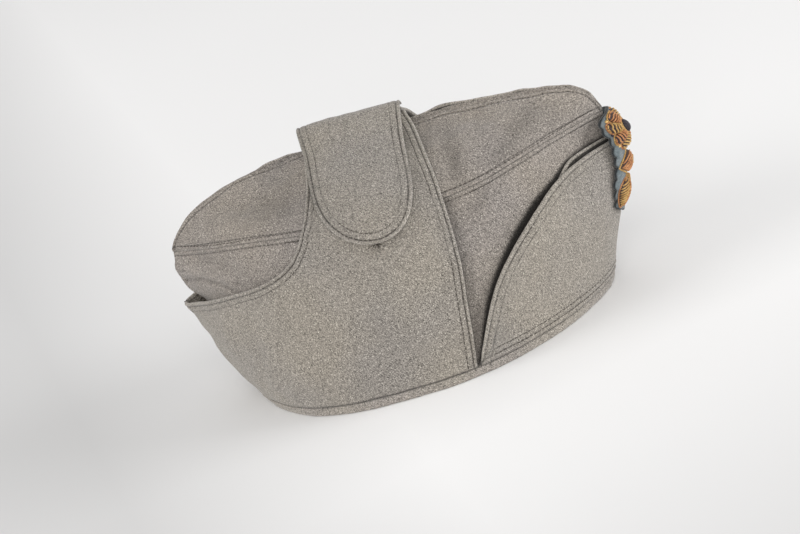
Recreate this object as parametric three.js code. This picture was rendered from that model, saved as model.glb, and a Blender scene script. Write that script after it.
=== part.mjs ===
// A field-grey military side cap, resting on its rim. Millimetres, +X is the cap's front,
// -Y the wearer's right, +Z up, and the rim lies on z = 0.
// The crown is two side panels, two top panels and a folded gusset between the two ridges.
// Outside it are the turned-up visor, the turned-up ear flaps, whose tongues rise over the
// crown, and the tab that closes them. A stitched hem carries every layer at the rim.
import * as THREE from "three";

// Cloth
const CROWN_THICK = 1.8; // crown cloth with its facing
const FLAP_THICK = 1.8; // two plies of a turned-up flap
const PLY_THICK = 1; // the visor's inner ply
const GAP = 0.3; // between pieces that meet
const HEM_HEIGHT = 5;
const HEM_OUT = 4.5; // the hem's outer face, beyond the crown cloth
const SEAM_HEIGHT = 95; // the seam between the crown's sides and its top
const END_STRETCH = 0.7; // how much more an outer layer gains in length than in width, at the seam
const RIDGE_SPREAD = 1.7; // gathers the ridge's points towards its ends
const RIDGE_RISE = 30; // the ridge's greatest height above the seam
const TOP_BULGE = 4;
const FULL_BULGE_CHORD = 60; // a top panel at least this wide has the whole bulge
const GUSSET_DEPTH = 3.2;
const GUSSET_SUNK = 0.2; // the gusset's edges below the ridges' edges
const GUSSET_THICK = 2.2;
const GUSSET_SHORT = 2; // columns that the gusset stops short of the panels at each end
const FLAP_OUT = 3; // middle of the flap cloth beyond the crown at the rim
const FLAP_LEAN = 1; // and how much further out it stands at the seam's height
const STERN_RADIUS = 6; // the flap's bend round the back of the head
const VISOR_OUT = 3.4;
const VISOR_LEAN = 0.8;
const VISOR_FLARE = 1.8; // how much further its edge stands out, except in front
const VISOR_FLARE_ENDS = { from: 0.6, to: 0.78 }; // shares of the way to the front centre
const PLY_OUT = 1.35;
const PLY_LEAN = 0.3;
const PLY_RISE = 2.5; // how far the inner ply shows above the visor's edge in front
const PLY_DROP = 4; // and how far below that edge it stays elsewhere
const PLY_LEAST = 1.2; // its height where the visor is lowest
const PLY_SHOWS = { from: 0.72, to: 0.82 }; // shares of the way to the front centre

// The crown's level outlines. back, front and half are its reach from the middle of the rim,
// and the powers set how full the outline is towards each end.
const LEVELS = [
  { z: 0, back: 99.5, front: 98, half: 77, backX: 3.2, backY: 1.5, frontX: 1.9, frontY: 1.5 },
  { z: 20, back: 111.5, front: 105, half: 77, backX: 2.9, backY: 1.35, frontX: 1.9, frontY: 1.4 },
  { z: 40, back: 117, front: 112.5, half: 75, backX: 2.6, backY: 1.2, frontX: 1.85, frontY: 1.25 },
  { z: 60, back: 121.5, front: 118, half: 70.5, backX: 2.4, backY: 1.05, frontX: 2, frontY: 1.1 },
  { z: 80, back: 126, front: 122, half: 63, backX: 2.3, backY: 0.92, frontX: 2.1, frontY: 0.95 },
  { z: 95, back: 124, front: 125.5, half: 57, backX: 2.2, backY: 0.85, frontX: 2.2, frontY: 0.85 },
];

// The crown tucks in at the back where it goes down behind the curtain's edge: beyond x it moves
// forwards, by depth from wholeX. The tuck starts at the height foot, is whole from full to low,
// and has gone at high.
const REAR_TUCK = { depth: 4.2, foot: 8, full: 30, low: 57, high: 66, x: -106, wholeX: -121 };

// How far the long seam lies below its height, along the crown. What lies within near of that
// height sags with it, and nothing does that lies beyond far.
const SEAM_SAG = [
  { x: -126, drop: 5 },
  { x: -112, drop: 4.3 },
  { x: -95, drop: 2.5 },
  { x: -78, drop: 0.7 },
  { x: -64, drop: 0 },
  { x: -20, drop: 0.6 },
  { x: 20, drop: 2.2 },
  { x: 45, drop: 2.5 },
  { x: 58, drop: 2.1 },
  { x: 68, drop: 1 },
  { x: 82, drop: -0.1 },
  { x: 96, drop: -1 },
  { x: 112, drop: -0.8 },
  { x: 126, drop: 0 },
];
const SAG_REACH = { near: 2, far: 17 };

// The ridge along the top: its height, and half the distance between its two edges.
const RIDGE = [
  { x: -124, z: 96.5, apart: 0.6 },
  { x: -121, z: 100.5, apart: 0.9 },
  { x: -113, z: 105.8, apart: 1.6 },
  { x: -98, z: 112.6, apart: 2.4 },
  { x: -85, z: 117, apart: 2.6 },
  { x: -60, z: 121.6, apart: 3 },
  { x: -42, z: 122.8, apart: 3.4 },
  { x: 26, z: 122, apart: 4 },
  { x: 42, z: 123, apart: 4.4 },
  { x: 60, z: 121.4, apart: 4.4 },
  { x: 97, z: 117, apart: 3.6 },
  { x: 112, z: 113.2, apart: 2.4 },
  { x: 121, z: 106.5, apart: 1.2 },
  { x: 125.5, z: 97, apart: 0.6 },
];

// Soft dents in the crown's two sides. Each is centred at x and z, and rise is its slope.
const DENTS = [
  { side: -1, x: -104, z: 88, long: 18, high: 4, rise: -0.35, depth: 1.8 },
  { side: -1, x: -57, z: 108, long: 16, high: 6, rise: 0, depth: 2.4 },
  { side: -1, x: 78, z: 106, long: 17, high: 5, rise: 0.36, depth: 2.6 },
  { side: -1, x: 43, z: 108, long: 6, high: 10, rise: 0, depth: 2.6 },
  { side: -1, x: 51, z: 84, long: 12, high: 5, rise: 0.4, depth: 1.8 },
  { side: -1, x: 100, z: 104, long: 10, high: 5, rise: 0.2, depth: 1.2 },
  { side: 1, x: -96, z: 84, long: 22, high: 6, rise: -0.2, depth: 2.2 },
  { side: 1, x: 62, z: 108, long: 20, high: 8, rise: 0.3, depth: 2.8 },
  { side: 1, x: -72, z: 108, long: 18, high: 6, rise: 0, depth: 1.8 },
];
// Over these heights a dent turns from going inwards to going partly downwards.
const DENTS_TURN = { from: SEAM_HEIGHT - 4, to: SEAM_HEIGHT + 12, inwards: 0.5, down: 0.8 };
const DENTS_CLEAR = { from: 2, to: 14 }; // distances from the middle plane over which they grow

// The curtain's upper edge, from the tongue's foot to the centre of the back.
const CURTAIN_EDGE = [
  { toBack: 0, z: 85 },
  { toBack: 0.115, z: 79.4 },
  { toBack: 0.28, z: 74.5 },
  { toBack: 0.47, z: 71 },
  { toBack: 0.66, z: 67.1 },
  { toBack: 0.81, z: 63.8 },
  { toBack: 0.95, z: 61 },
  { toBack: 1, z: 60.6 },
];
const TONGUE_FOOT_X = -52;
const TONGUE_FOOT_Z = CURTAIN_EDGE[0].z;

// The ear flap's free edges above the hem: x at the front, and at the back of the tongue.
// The left tongue is drawn over by the tab, so its front edge lies further back at the top.
const FLAP_FRONT = [
  { z: 5, right: 25.4, left: 25.4 },
  { z: 22.7, right: 28.6, left: 28.6 },
  { z: 42, right: 31.6, left: 31.6 },
  { z: 64, right: 34.9, left: 34.9 },
  { z: 82, right: 35.6, left: 34.6 },
  { z: 98, right: 35.1, left: 30 },
  { z: 114, right: 31.9, left: 23 },
  { z: 124, right: 28.5, left: 21.6 },
  { z: 129.6, right: 25, left: 22 },
];
const TONGUE_BACK = [
  { z: 85, x: -52 },
  { z: 90, x: -47.3 },
  { z: 94.4, x: -43.9 },
  { z: 100.3, x: -39.8 },
  { z: 108, x: -36.6 },
  { z: 115, x: -34.6 },
  { z: 124, x: -34 },
  { z: 129.6, x: -34 },
];
// Half the width between the tongues, above the crown's seam.
const TONGUE_HALF = [
  { z: 95, half: 61 },
  { z: 102.6, half: 52.5 },
  { z: 110, half: 42 },
  { z: 117.5, half: 29.5 },
  { z: 124.2, half: 16 },
  { z: 129.6, half: 5 },
];
const TONGUE_TOP = TONGUE_HALF[TONGUE_HALF.length - 1].z;

// The tab's section where it is widest, from the left tongue's top over the fold and down the right.
const TAB_SECTION = [
  { y: 4.4, z: 131 },
  { y: 1.6, z: 132.6 },
  { y: -2, z: 133 },
  { y: -7, z: 131.6 },
  { y: -18, z: 126.4 },
  { y: -32, z: 120 },
  { y: -45, z: 112.6 },
  { y: -56.6, z: 105 },
  { y: -65.2, z: 96 },
  { y: -69.4, z: 88.5 },
  { y: -70.4, z: 84 },
];
const TAB_CENTRE_X = -5.2;
const TAB_HALF = 27.4;
const TAB_LEAN = { forwards: 4.2, power: 4 }; // its round end lies further forward
// Over the fold the tab is wider at its rear and front edges, and stands higher towards the rear.
// Both end at the share of the section.
const TAB_FLARE = { rear: 3.1, front: 1, share: 0.4 };
const TAB_FOLD_RISE = [
  { aside: -1, rise: 2 },
  { aside: -0.7, rise: 3.3 },
  { aside: -0.3, rise: 2.9 },
  { aside: 0, rise: 1.9 },
  { aside: 0.4, rise: 0.9 },
  { aside: 1, rise: 0 },
];
const TAB_PAST_FOLD = 0.3; // a share of the section past the fold, above the round end
const TAB_ROUND_Z = 113; // the height of the round end's centre
const STUD = { x: -3.5, z: 99, radius: 4.5, thick: 1.2, sides: 16 };

// The visor's upper edge, from its rear corner (around) to the front centre.
const VISOR_EDGE = [
  { around: 0.19, z: 9 },
  { around: 0.244, z: 23.8 },
  { around: 0.282, z: 32.9 },
  { around: 0.326, z: 41.2 },
  { around: 0.379, z: 48.9 },
  { around: 0.437, z: 55.3 },
  { around: 0.492, z: 60.6 },
  { around: 0.56, z: 66 },
  { around: 0.623, z: 70.4 },
  { around: 0.681, z: 73.9 },
  { around: 0.734, z: 76.6 },
  { around: 0.8, z: 78.9 },
  { around: 0.87, z: 79.7 },
  { around: 0.93, z: 79.5 },
  { around: 1, z: 78.6 },
];
const VISOR_CORNER = VISOR_EDGE[0].around;

// The badge: a scalloped felt backing bent round the bow, with padded motifs on it.
const BADGE = { top: 96.5, bottom: 38, thick: 1.6, crownClear: 0.3, ends: { bottom: 3, top: 2 } };
const BADGE_WRAP = { radius: 11, angle: THREE.MathUtils.degToRad(50) };
const BADGE_GAP = GAP + 0.4; // behind a curved piece, whose faces are flat
// The heights over which it passes from the visor to the crown above the visor.
const BADGE_LEAVES = { from: VISOR_EDGE[VISOR_EDGE.length - 1].z + 1, to: BADGE.top - BADGE.ends.top };
const BADGE_HALF = [
  { z: 37, half: 6 },
  { z: 45, half: 12 },
  { z: 55, half: 13 },
  { z: 64, half: 11.5 },
  { z: 73, half: 12.5 },
  { z: 85, half: 15 },
  { z: 93, half: 11.5 },
  { z: 96.5, half: 6 },
];
const SCALLOPS = { count: 9, depth: 1.4 };
const ROSETTE = { z: 83.5, radius: 11.4, petals: 8, notch: 0.9, dip: 2.2 };
const BOSS = { radius: 3.6 };
const LOZENGE = { z: 64, halfWide: 8.8, halfHigh: 6.6 };
const LEAVES = { foot: { a: 3.2, z: 56 }, tip: { a: 8.4, z: 42.5 }, halfWide: 3.8, fullness: 0.3 };

// Each motif's section from its foot to its middle: share of its outline, and height
const FOOT_RINGS = [0.35, 0.7]; // shares of its sole, so that it follows the felt's bend
const ROSETTE_SECTION = [
  { share: 0.96, high: 0 },
  { share: 1, high: 0.8 },
  { share: 0.86, high: 3 },
  { share: 0.62, high: 4.2 },
  { share: 0.44, high: 3.2 },
  { share: 0.36, high: ROSETTE.dip },
];
const BOSS_SECTION = [
  { share: 0.9, high: 0 },
  { share: 0.9, high: 1 },
  { share: 0.65, high: 2 },
  { share: 0.3, high: 2.4 },
];
const LOZENGE_SECTION = [
  { share: 0.94, high: 0 },
  { share: 1, high: 0.8 },
  { share: 0.7, high: 3.5 },
  { share: 0.3, high: 4.4 },
];
const LEAF_SECTION = [
  { share: 0.94, high: 0 },
  { share: 1, high: 0.7 },
  { share: 0.65, high: 3.2 },
  { share: 0.3, high: 4.2 },
];

// Grid sizes
const SIDE_COLUMNS = 32;
const SIDE_ROWS = 7;
const TOP_COLUMNS = 28;
const TOP_ROWS = 4;
const GUSSET_ROWS = 4;
const HEM_STEPS = 32; // a side
const CURTAIN_COLUMNS = 11;
const TONGUE_COLUMNS = 8;
const FLAP_ROWS = 6;
const TONGUE_ROWS = 7;
const TAB_COLUMNS = 10;
const TAB_ROWS = 15;
const VISOR_COLUMNS = 26;
const VISOR_ROWS = 5;
const BADGE_COLUMNS = 10;
const BOSS_SIDES = 10;
const MOTIF_SIDES = 12;
const SHARE_SEARCH_STEPS = 30; // halvings, for tabShareAt

function cloth(colour) {
  return new THREE.MeshStandardMaterial({ color: colour, roughness: 0.95, metalness: 0 });
}
function metalWire(colour) {
  return new THREE.MeshStandardMaterial({ color: colour, roughness: 0.45, metalness: 0.6 });
}
const CROWN_CLOTH = cloth(0x8f8981);
const FLAP_CLOTH = cloth(0x9a938b);
const HEM_CLOTH = cloth(0x8a847c);
const FELT = cloth(0x66737a);
const DARK_THREAD = cloth(0x2b2029);
const GOLD_THREAD = metalWire(0xbd9a55);
const COPPER_THREAD = metalWire(0xc08a5a);
const STUD_METAL = new THREE.MeshStandardMaterial({ color: 0x4a4a48, roughness: 0.5, metalness: 0.8 });

// 0 below one value, 1 above the other, and smooth between them.
function ease(at, from, to) {
  return THREE.MathUtils.smoothstep(at, from, to);
}
function spread(low, high, share) {
  return low + (high - low) * share;
}

// The value of a column at a place along the table, on a smooth curve that never overshoots its rows.
function smooth(rows, by, at, column) {
  const last = rows.length - 1;
  if (at <= rows[0][by]) {
    return rows[0][column];
  }
  if (at >= rows[last][by]) {
    return rows[last][column];
  }
  let i = 0;
  while (at > rows[i + 1][by]) {
    i += 1;
  }
  const slope = (k) => (rows[k + 1][column] - rows[k][column]) / (rows[k + 1][by] - rows[k][by]);
  const tangent = (k) => {
    if (k === 0 || k === last) {
      return slope(k === 0 ? 0 : last - 1);
    }
    const before = slope(k - 1);
    const after = slope(k);
    return before * after <= 0 ? 0 : (2 * before * after) / (before + after);
  };
  const step = rows[i + 1][by] - rows[i][by];
  const t = (at - rows[i][by]) / step;
  const rise = rows[i + 1][column] - rows[i][column];
  const plain = rise * t * t * (3 - 2 * t);
  const lead = t * (1 - t) * (1 - t) * tangent(i) * step;
  const trail = t * t * (t - 1) * tangent(i + 1) * step;
  return rows[i][column] + plain + lead + trail;
}

// One level outline of the crown, at a height of at most the seam's.
function levelAt(z) {
  const level = {};
  for (const column of Object.keys(LEVELS[0])) {
    level[column] = smooth(LEVELS, "z", z, column);
  }
  level.stretch = 1 + (END_STRETCH * Math.min(z, SEAM_HEIGHT)) / SEAM_HEIGHT;
  return level;
}

// How far a surface reaches from the middle towards one end, and how its width falls off there.
function endOf(level, forward, out) {
  return {
    reach: (forward ? level.front : level.back) + out * level.stretch,
    powerX: forward ? level.frontX : level.backX,
    powerY: forward ? level.frontY : level.backY,
  };
}
function fallOff(end, share) {
  return Math.max(0, 1 - share ** end.powerX) ** (1 / end.powerY);
}
// The share of the way to an end that gives evenly spaced points along the outline.
function evenShare(end, away) {
  return 1 - (1 - away) ** Math.max(end.powerY, 1);
}

// A point of the right wall. around runs from -1 at the back centre to 1 at the front centre.
function wallPoint(around, z, out) {
  const level = levelAt(z);
  const end = endOf(level, around > 0, out);
  const share = evenShare(end, Math.abs(around));
  const half = (level.half + out) * fallOff(end, share);
  return new THREE.Vector3(Math.sign(around) * end.reach * share, -half, z);
}

// Moves a point of the right crown inwards where a dent of that side reaches it.
function dented(point, side) {
  let depth = 0;
  for (const dent of DENTS.filter((row) => row.side === side)) {
    const along = point.x - dent.x;
    const across = point.z - dent.z - dent.rise * along;
    depth += dent.depth * Math.exp(-((along / dent.long) ** 2) - (across / dent.high) ** 2);
  }
  depth *= ease(-point.y, DENTS_CLEAR.from, DENTS_CLEAR.to);
  const onTop = ease(point.z, DENTS_TURN.from, DENTS_TURN.to);
  point.y += depth * spread(1, DENTS_TURN.inwards, onTop);
  point.z -= depth * DENTS_TURN.down * onTop;
  return point;
}

// Moves a point at the crown's back forwards, where the crown goes down behind the curtain.
function tucked(point) {
  const { depth, foot, full, low, high, x, wholeX } = REAR_TUCK;
  const height = ease(point.z, foot, full) * (1 - ease(point.z, low, high));
  point.x += depth * height * ease(-point.x, -x, -wholeX);
  return point;
}

// Moves a point near the long seam's height with the seam's sag.
function sagged(point) {
  const close = 1 - ease(Math.abs(point.z - SEAM_HEIGHT), SAG_REACH.near, SAG_REACH.far);
  point.z -= close * smooth(SEAM_SAG, "x", point.x, "drop");
  return point;
}

function ridgePoint(around, out) {
  const forward = around > 0;
  const outer = forward ? RIDGE[RIDGE.length - 1].x : -RIDGE[0].x;
  const share = 1 - (1 - Math.abs(around)) ** RIDGE_SPREAD;
  const along = Math.sign(around) * share * outer;
  const height = smooth(RIDGE, "x", along, "z") - SEAM_HEIGHT;
  const x = Math.sign(around) * share * (outer + out * (1 + END_STRETCH));
  const y = -smooth(RIDGE, "x", along, "apart");
  return new THREE.Vector3(x, y, SEAM_HEIGHT + height * (1 + out / RIDGE_RISE));
}

// A point of the right top panel. rise runs from 0 at the seam to 1 at the ridge. The panel's
// bulge is rise (1 - rise) squared, which is greatest at a third of the way up.
const GREATEST_BULGE = 4 / 27;
function topPoint(around, rise, out) {
  const seam = wallPoint(around, SEAM_HEIGHT, out);
  seam.z += GAP;
  const ridge = ridgePoint(around, out);
  const point = seam.clone().lerp(ridge, rise);
  const across = new THREE.Vector2(-(seam.y - ridge.y), ridge.z - seam.z);
  const chord = across.length();
  const shape = (rise * (1 - rise) ** 2) / GREATEST_BULGE;
  const bulge = TOP_BULGE * shape * Math.min(1, chord / FULL_BULGE_CHORD);
  point.y -= (bulge * across.y) / Math.max(chord, 1);
  point.z += (bulge * across.x) / Math.max(chord, 1);
  return point;
}

// A closed body from a grid of cells: an outer skin, an inner skin, and walls round the free edges.
// Columns run forwards on the right side and rows run up. holds says which cells there are.
function sheetGeometry(columns, rows, outer, inner, holds = () => true) {
  const points = [];
  const faces = [];
  const known = new Map();
  const vertex = (skin, [i, j]) => {
    const key = `${skin} ${i} ${j}`;
    if (!known.has(key)) {
      known.set(key, points.length / 3);
      points.push(...(skin === "outer" ? outer : inner)(i, j).toArray());
    }
    return known.get(key);
  };
  const quad = (a, b, c, d) => faces.push(a, b, c, a, c, d);
  const present = (i, j) => i >= 0 && j >= 0 && i < columns && j < rows && holds(i, j);
  for (let i = 0; i < columns; i += 1) {
    for (let j = 0; j < rows; j += 1) {
      if (!present(i, j)) {
        continue;
      }
      const corners = [
        [i, j],
        [i + 1, j],
        [i + 1, j + 1],
        [i, j + 1],
      ];
      const beyond = [
        [i, j - 1],
        [i + 1, j],
        [i, j + 1],
        [i - 1, j],
      ];
      const [a, b, c, d] = corners.map((corner) => vertex("outer", corner));
      const [e, f, g, h] = corners.map((corner) => vertex("inner", corner));
      quad(a, b, c, d);
      quad(h, g, f, e);
      corners.forEach((corner, k) => {
        if (present(...beyond[k])) {
          return;
        }
        const next = corners[(k + 1) % 4];
        const [p, q] = [next, corner].map((place) => vertex("outer", place));
        const [r, s] = [corner, next].map((place) => vertex("inner", place));
        quad(p, q, r, s);
      });
    }
  }
  return geometryOf(points, faces);
}

function geometryOf(points, faces) {
  const geometry = new THREE.BufferGeometry();
  geometry.setAttribute("position", new THREE.Float32BufferAttribute(points, 3));
  geometry.setIndex(faces);
  geometry.computeVertexNormals();
  return geometry;
}

// The mirror image of a body in the plane y = 0.
function mirrored(geometry) {
  const points = Array.from(geometry.attributes.position.array);
  for (let k = 1; k < points.length; k += 3) {
    points[k] = -points[k];
  }
  const faces = [];
  const index = geometry.index.array;
  for (let k = 0; k < index.length; k += 3) {
    faces.push(index[k], index[k + 2], index[k + 1]);
  }
  return geometryOf(points, faces);
}

const cap = new THREE.Group();
function addPiece(name, geometry, material) {
  const mesh = new THREE.Mesh(geometry, material);
  mesh.name = name;
  cap.add(mesh);
}
// The same piece on the wearer's right and left. make(side) gives the body as it lies on the right.
function addPair(name, make, material) {
  addPiece(`${name}_right`, make(-1), material);
  addPiece(`${name}_left`, mirrored(make(1)), material);
}
// Keeps a right-hand piece on its own side of the middle seam.
function rightOfSeam(point) {
  point.y = Math.min(point.y, -GAP / 2);
  return point;
}

function crownSide(side) {
  const skin = (out) => (i, j) => {
    const z = spread(HEM_HEIGHT + GAP, SEAM_HEIGHT - GAP / 2, j / SIDE_ROWS);
    const point = tucked(wallPoint(spread(-1, 1, i / SIDE_COLUMNS), z, out));
    return rightOfSeam(sagged(dented(point, side)));
  };
  return sheetGeometry(SIDE_COLUMNS, SIDE_ROWS, skin(0), skin(-CROWN_THICK));
}

function crownTop(side) {
  const skin = (out) => (i, j) => {
    const point = topPoint(spread(-1, 1, i / TOP_COLUMNS), j / TOP_ROWS, out);
    return rightOfSeam(sagged(dented(point, side)));
  };
  return sheetGeometry(TOP_COLUMNS, TOP_ROWS, skin(0), skin(-CROWN_THICK));
}

// The strip between the two ridges, folded down into the crown.
function gusset() {
  const columns = TOP_COLUMNS - 2 * GUSSET_SHORT;
  const skin = (drop) => (i, j) => {
    const ridge = ridgePoint(spread(-1, 1, (i + GUSSET_SHORT) / TOP_COLUMNS), 0);
    const half = -ridge.y - 2 * GAP;
    const across = spread(-1, 1, j / GUSSET_ROWS);
    const depth = Math.min(GUSSET_DEPTH, half) * (1 - across * across);
    const z = ridge.z - GUSSET_SUNK - depth - drop;
    return sagged(new THREE.Vector3(ridge.x, across * half, z));
  };
  return sheetGeometry(columns, GUSSET_ROWS, skin(0), skin(GUSSET_THICK));
}

// The hem: a ring round the rim, from the crown cloth's inner face to beyond the flaps.
function hem() {
  const corners = [
    { out: HEM_OUT, z: 0 },
    { out: HEM_OUT, z: HEM_HEIGHT },
    { out: -CROWN_THICK, z: HEM_HEIGHT },
    { out: -CROWN_THICK, z: 0 },
  ];
  const steps = 2 * HEM_STEPS;
  const points = [];
  const faces = [];
  for (let k = 0; k < steps; k += 1) {
    const left = k >= HEM_STEPS;
    const around = left ? spread(1, -1, (k - HEM_STEPS) / HEM_STEPS) : spread(-1, 1, k / HEM_STEPS);
    for (const corner of corners) {
      const point = wallPoint(around, corner.z, corner.out);
      point.y *= left ? -1 : 1;
      points.push(...point.toArray());
    }
    for (let c = 0; c < 4; c += 1) {
      const next = (k + 1) % steps;
      const a = 4 * k + c;
      const b = 4 * next + c;
      const d = 4 * k + ((c + 1) % 4);
      const e = 4 * next + ((c + 1) % 4);
      faces.push(a, b, e, a, e, d);
    }
  }
  return geometryOf(points, faces);
}

// Half the width between the middles of the two ear flaps, at their widest.
function flapHalf(z) {
  if (z > SEAM_HEIGHT) {
    return smooth(TONGUE_HALF, "z", z, "half");
  }
  return levelAt(z).half + FLAP_OUT + (FLAP_LEAN * z) / SEAM_HEIGHT;
}
function flapSlope(z) {
  const low = Math.min(z, TONGUE_TOP) - 1;
  return flapHalf(low + 1) - flapHalf(low);
}
// Half the width of a round stern, at a distance from its end.
function sternHalf(fromEnd, skin) {
  const radius = STERN_RADIUS + (skin * FLAP_THICK) / 2;
  const inside = Math.min(Math.max(fromEnd, 0), radius);
  return Math.sqrt(inside * (2 * radius - inside));
}
// skin is -1 on the inner face and 1 on the outer. The cloth keeps its thickness where it slopes.
function flapPoint(x, z, skin) {
  const level = levelAt(z);
  const out = FLAP_OUT + (FLAP_LEAN * Math.min(z, SEAM_HEIGHT)) / SEAM_HEIGHT;
  const offset = (skin * FLAP_THICK * Math.hypot(1, flapSlope(z))) / 2;
  const end = endOf(level, x > 0, out + (skin * FLAP_THICK) / 2);
  const half = (flapHalf(z) + offset) * fallOff(end, Math.min(1, Math.abs(x) / end.reach));
  const stern = x < 0 ? sternHalf(end.reach + x, skin) : 0;
  return new THREE.Vector3(x, -Math.max(half, stern), z);
}

function earFlap(side) {
  const columns = CURTAIN_COLUMNS + TONGUE_COLUMNS;
  const rows = FLAP_ROWS + TONGUE_ROWS;
  const bottom = HEM_HEIGHT + GAP;
  const skin = (face) => (i, j) => {
    if (i < CURTAIN_COLUMNS) {
      const toBack = 1 - i / CURTAIN_COLUMNS;
      const z = spread(bottom, smooth(CURTAIN_EDGE, "toBack", toBack, "z"), j / FLAP_ROWS);
      const out = FLAP_OUT + (FLAP_LEAN * z) / SEAM_HEIGHT + (face * FLAP_THICK) / 2;
      const end = endOf(levelAt(z), false, out);
      const x = TONGUE_FOOT_X - (end.reach + TONGUE_FOOT_X) * evenShare(end, toBack);
      return rightOfSeam(flapPoint(x, z, face));
    }
    const share = (i - CURTAIN_COLUMNS) / TONGUE_COLUMNS;
    const z =
      j <= FLAP_ROWS
        ? spread(bottom, TONGUE_FOOT_Z, j / FLAP_ROWS)
        : spread(TONGUE_FOOT_Z, TONGUE_TOP, (j - FLAP_ROWS) / TONGUE_ROWS);
    const front = smooth(FLAP_FRONT, "z", z, side < 0 ? "right" : "left");
    const x = spread(smooth(TONGUE_BACK, "z", z, "x"), front, share);
    return flapPoint(x, z, face);
  };
  const holds = (i, j) => j < FLAP_ROWS || i >= CURTAIN_COLUMNS;
  return sheetGeometry(columns, rows, skin(1), skin(-1), holds);
}

// The tab's width falls off towards its edges as the tongue's does.
function tabNarrowing(x) {
  const end = endOf(levelAt(SEAM_HEIGHT), x > 0, FLAP_OUT + FLAP_LEAN);
  return fallOff(end, Math.abs(x) / end.reach);
}
const tabCurve = new THREE.CatmullRomCurve3(
  TAB_SECTION.map((row) => new THREE.Vector3(0, row.y, row.z)),
  false,
  "centripetal",
);
// The share of the section's length at which its right-hand side comes down to a height.
function tabShareAt(z) {
  let above = TAB_PAST_FOLD;
  let below = 1;
  for (let step = 0; step < SHARE_SEARCH_STEPS; step += 1) {
    const middle = (above + below) / 2;
    if (tabCurve.getPointAt(middle).z > z) {
      above = middle;
    } else {
      below = middle;
    }
  }
  return above;
}
function closingTab() {
  const ends = [];
  for (let i = 0; i <= TAB_COLUMNS; i += 1) {
    const angle = spread(-Math.PI / 2, Math.PI / 2, i / TAB_COLUMNS);
    const share = tabShareAt(TAB_ROUND_Z - TAB_HALF * Math.cos(angle));
    ends.push({ aside: Math.sin(angle), share });
  }
  const skin = (face) => (i, j) => {
    const share = ends[i].share * (1 - j / TAB_ROWS);
    const middle = tabCurve.getPointAt(share);
    const along = tabCurve.getTangentAt(share);
    const offset = (face * FLAP_THICK) / 2;
    const fold = 1 - ease(share, 0, TAB_FLARE.share);
    const { aside } = ends[i];
    const half = TAB_HALF + fold * (aside < 0 ? TAB_FLARE.rear : TAB_FLARE.front);
    const x = TAB_CENTRE_X + TAB_LEAN.forwards * share ** TAB_LEAN.power + half * aside;
    const y = (middle.y + offset * along.z) * tabNarrowing(x);
    const rise = fold * smooth(TAB_FOLD_RISE, "aside", aside, "rise");
    return new THREE.Vector3(x, y, middle.z - offset * along.y + rise);
  };
  return sheetGeometry(TAB_COLUMNS, TAB_ROWS, skin(1), skin(-1));
}

// The plain stud under the tab's round end that holds the tab to the right tongue.
function tabStud() {
  const tab = tabCurve.getPointAt(tabShareAt(STUD.z));
  const tongue = flapPoint(STUD.x, STUD.z, 0);
  const lean = Math.atan(-flapSlope(STUD.z));
  const stud = new THREE.CylinderGeometry(STUD.radius, STUD.radius, STUD.thick, STUD.sides);
  stud.rotateX(Math.PI / 2 + lean);
  stud.translate(STUD.x, (tab.y * tabNarrowing(STUD.x) + tongue.y) / 2, STUD.z);
  return stud;
}

// A turned-up ply of the visor. extra(around) is how far it rises above the visor's edge, and
// flare how much further out it stands there.
function visorPly(middleOut, lean, thick, extra, flare) {
  const bottom = HEM_HEIGHT + GAP;
  const skin = (face) => (i, j) => {
    const across = spread(-1, 1, i / VISOR_COLUMNS);
    const around = spread(VISOR_CORNER, 1, 1 - Math.abs(across));
    const top = smooth(VISOR_EDGE, "around", around, "z") + extra(around);
    const z = spread(bottom, Math.max(top, bottom + PLY_LEAST), j / VISOR_ROWS);
    const sides = 1 - ease(around, VISOR_FLARE_ENDS.from, VISOR_FLARE_ENDS.to);
    const flared = middleOut + flare * sides * (j / VISOR_ROWS) ** 2;
    const out = flared + (lean * z) / SEAM_HEIGHT + (face * thick) / 2;
    const point = wallPoint(around, z, out);
    point.y *= across > 0 ? -1 : 1;
    return point;
  };
  return sheetGeometry(VISOR_COLUMNS, VISOR_ROWS, skin(1), skin(-1));
}

// How far forward the badge's back lies at the bow: on the visor, then on the crown above it.
function bowReach(z) {
  const level = levelAt(z);
  const onVisor = VISOR_OUT + (VISOR_LEAN * z) / SEAM_HEIGHT + FLAP_THICK / 2;
  const out = spread(onVisor, BADGE.crownClear, ease(z, BADGE_LEAVES.from, BADGE_LEAVES.to));
  return level.front + out * level.stretch + BADGE_GAP;
}
// A point of the badge: a across it, z up it, and high above its back.
function badgePoint(a, z, high) {
  const { radius, angle } = BADGE_WRAP;
  const bend = Math.min(Math.abs(a) / radius, angle);
  const straight = Math.abs(a) - bend * radius;
  const back = radius * (1 - Math.cos(bend)) + straight * Math.sin(bend);
  const side = radius * Math.sin(bend) + straight * Math.cos(bend);
  return new THREE.Vector3(
    bowReach(z) - back + high * Math.cos(bend),
    Math.sign(a) * (side + high * Math.sin(bend)),
    z,
  );
}
// The felt: two points at its foot, a round top, and scallops down its sides.
function badgeBacking() {
  const rows = 2 * SCALLOPS.count;
  const skin = (high) => (i, j) => {
    const across = spread(-1, 1, i / BADGE_COLUMNS);
    const fromPoint = Math.min(1, Math.abs(2 * Math.abs(across) - 1));
    const low = BADGE.bottom + BADGE.ends.bottom * fromPoint;
    const z = spread(low, BADGE.top - BADGE.ends.top * across * across, j / rows);
    const scallop = j % 2 === 0 ? SCALLOPS.depth : 0;
    const half = smooth(BADGE_HALF, "z", z, "half") - scallop;
    return badgePoint(across * half, z, high);
  };
  return sheetGeometry(BADGE_COLUMNS, rows, skin(BADGE.thick), skin(0));
}
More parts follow.
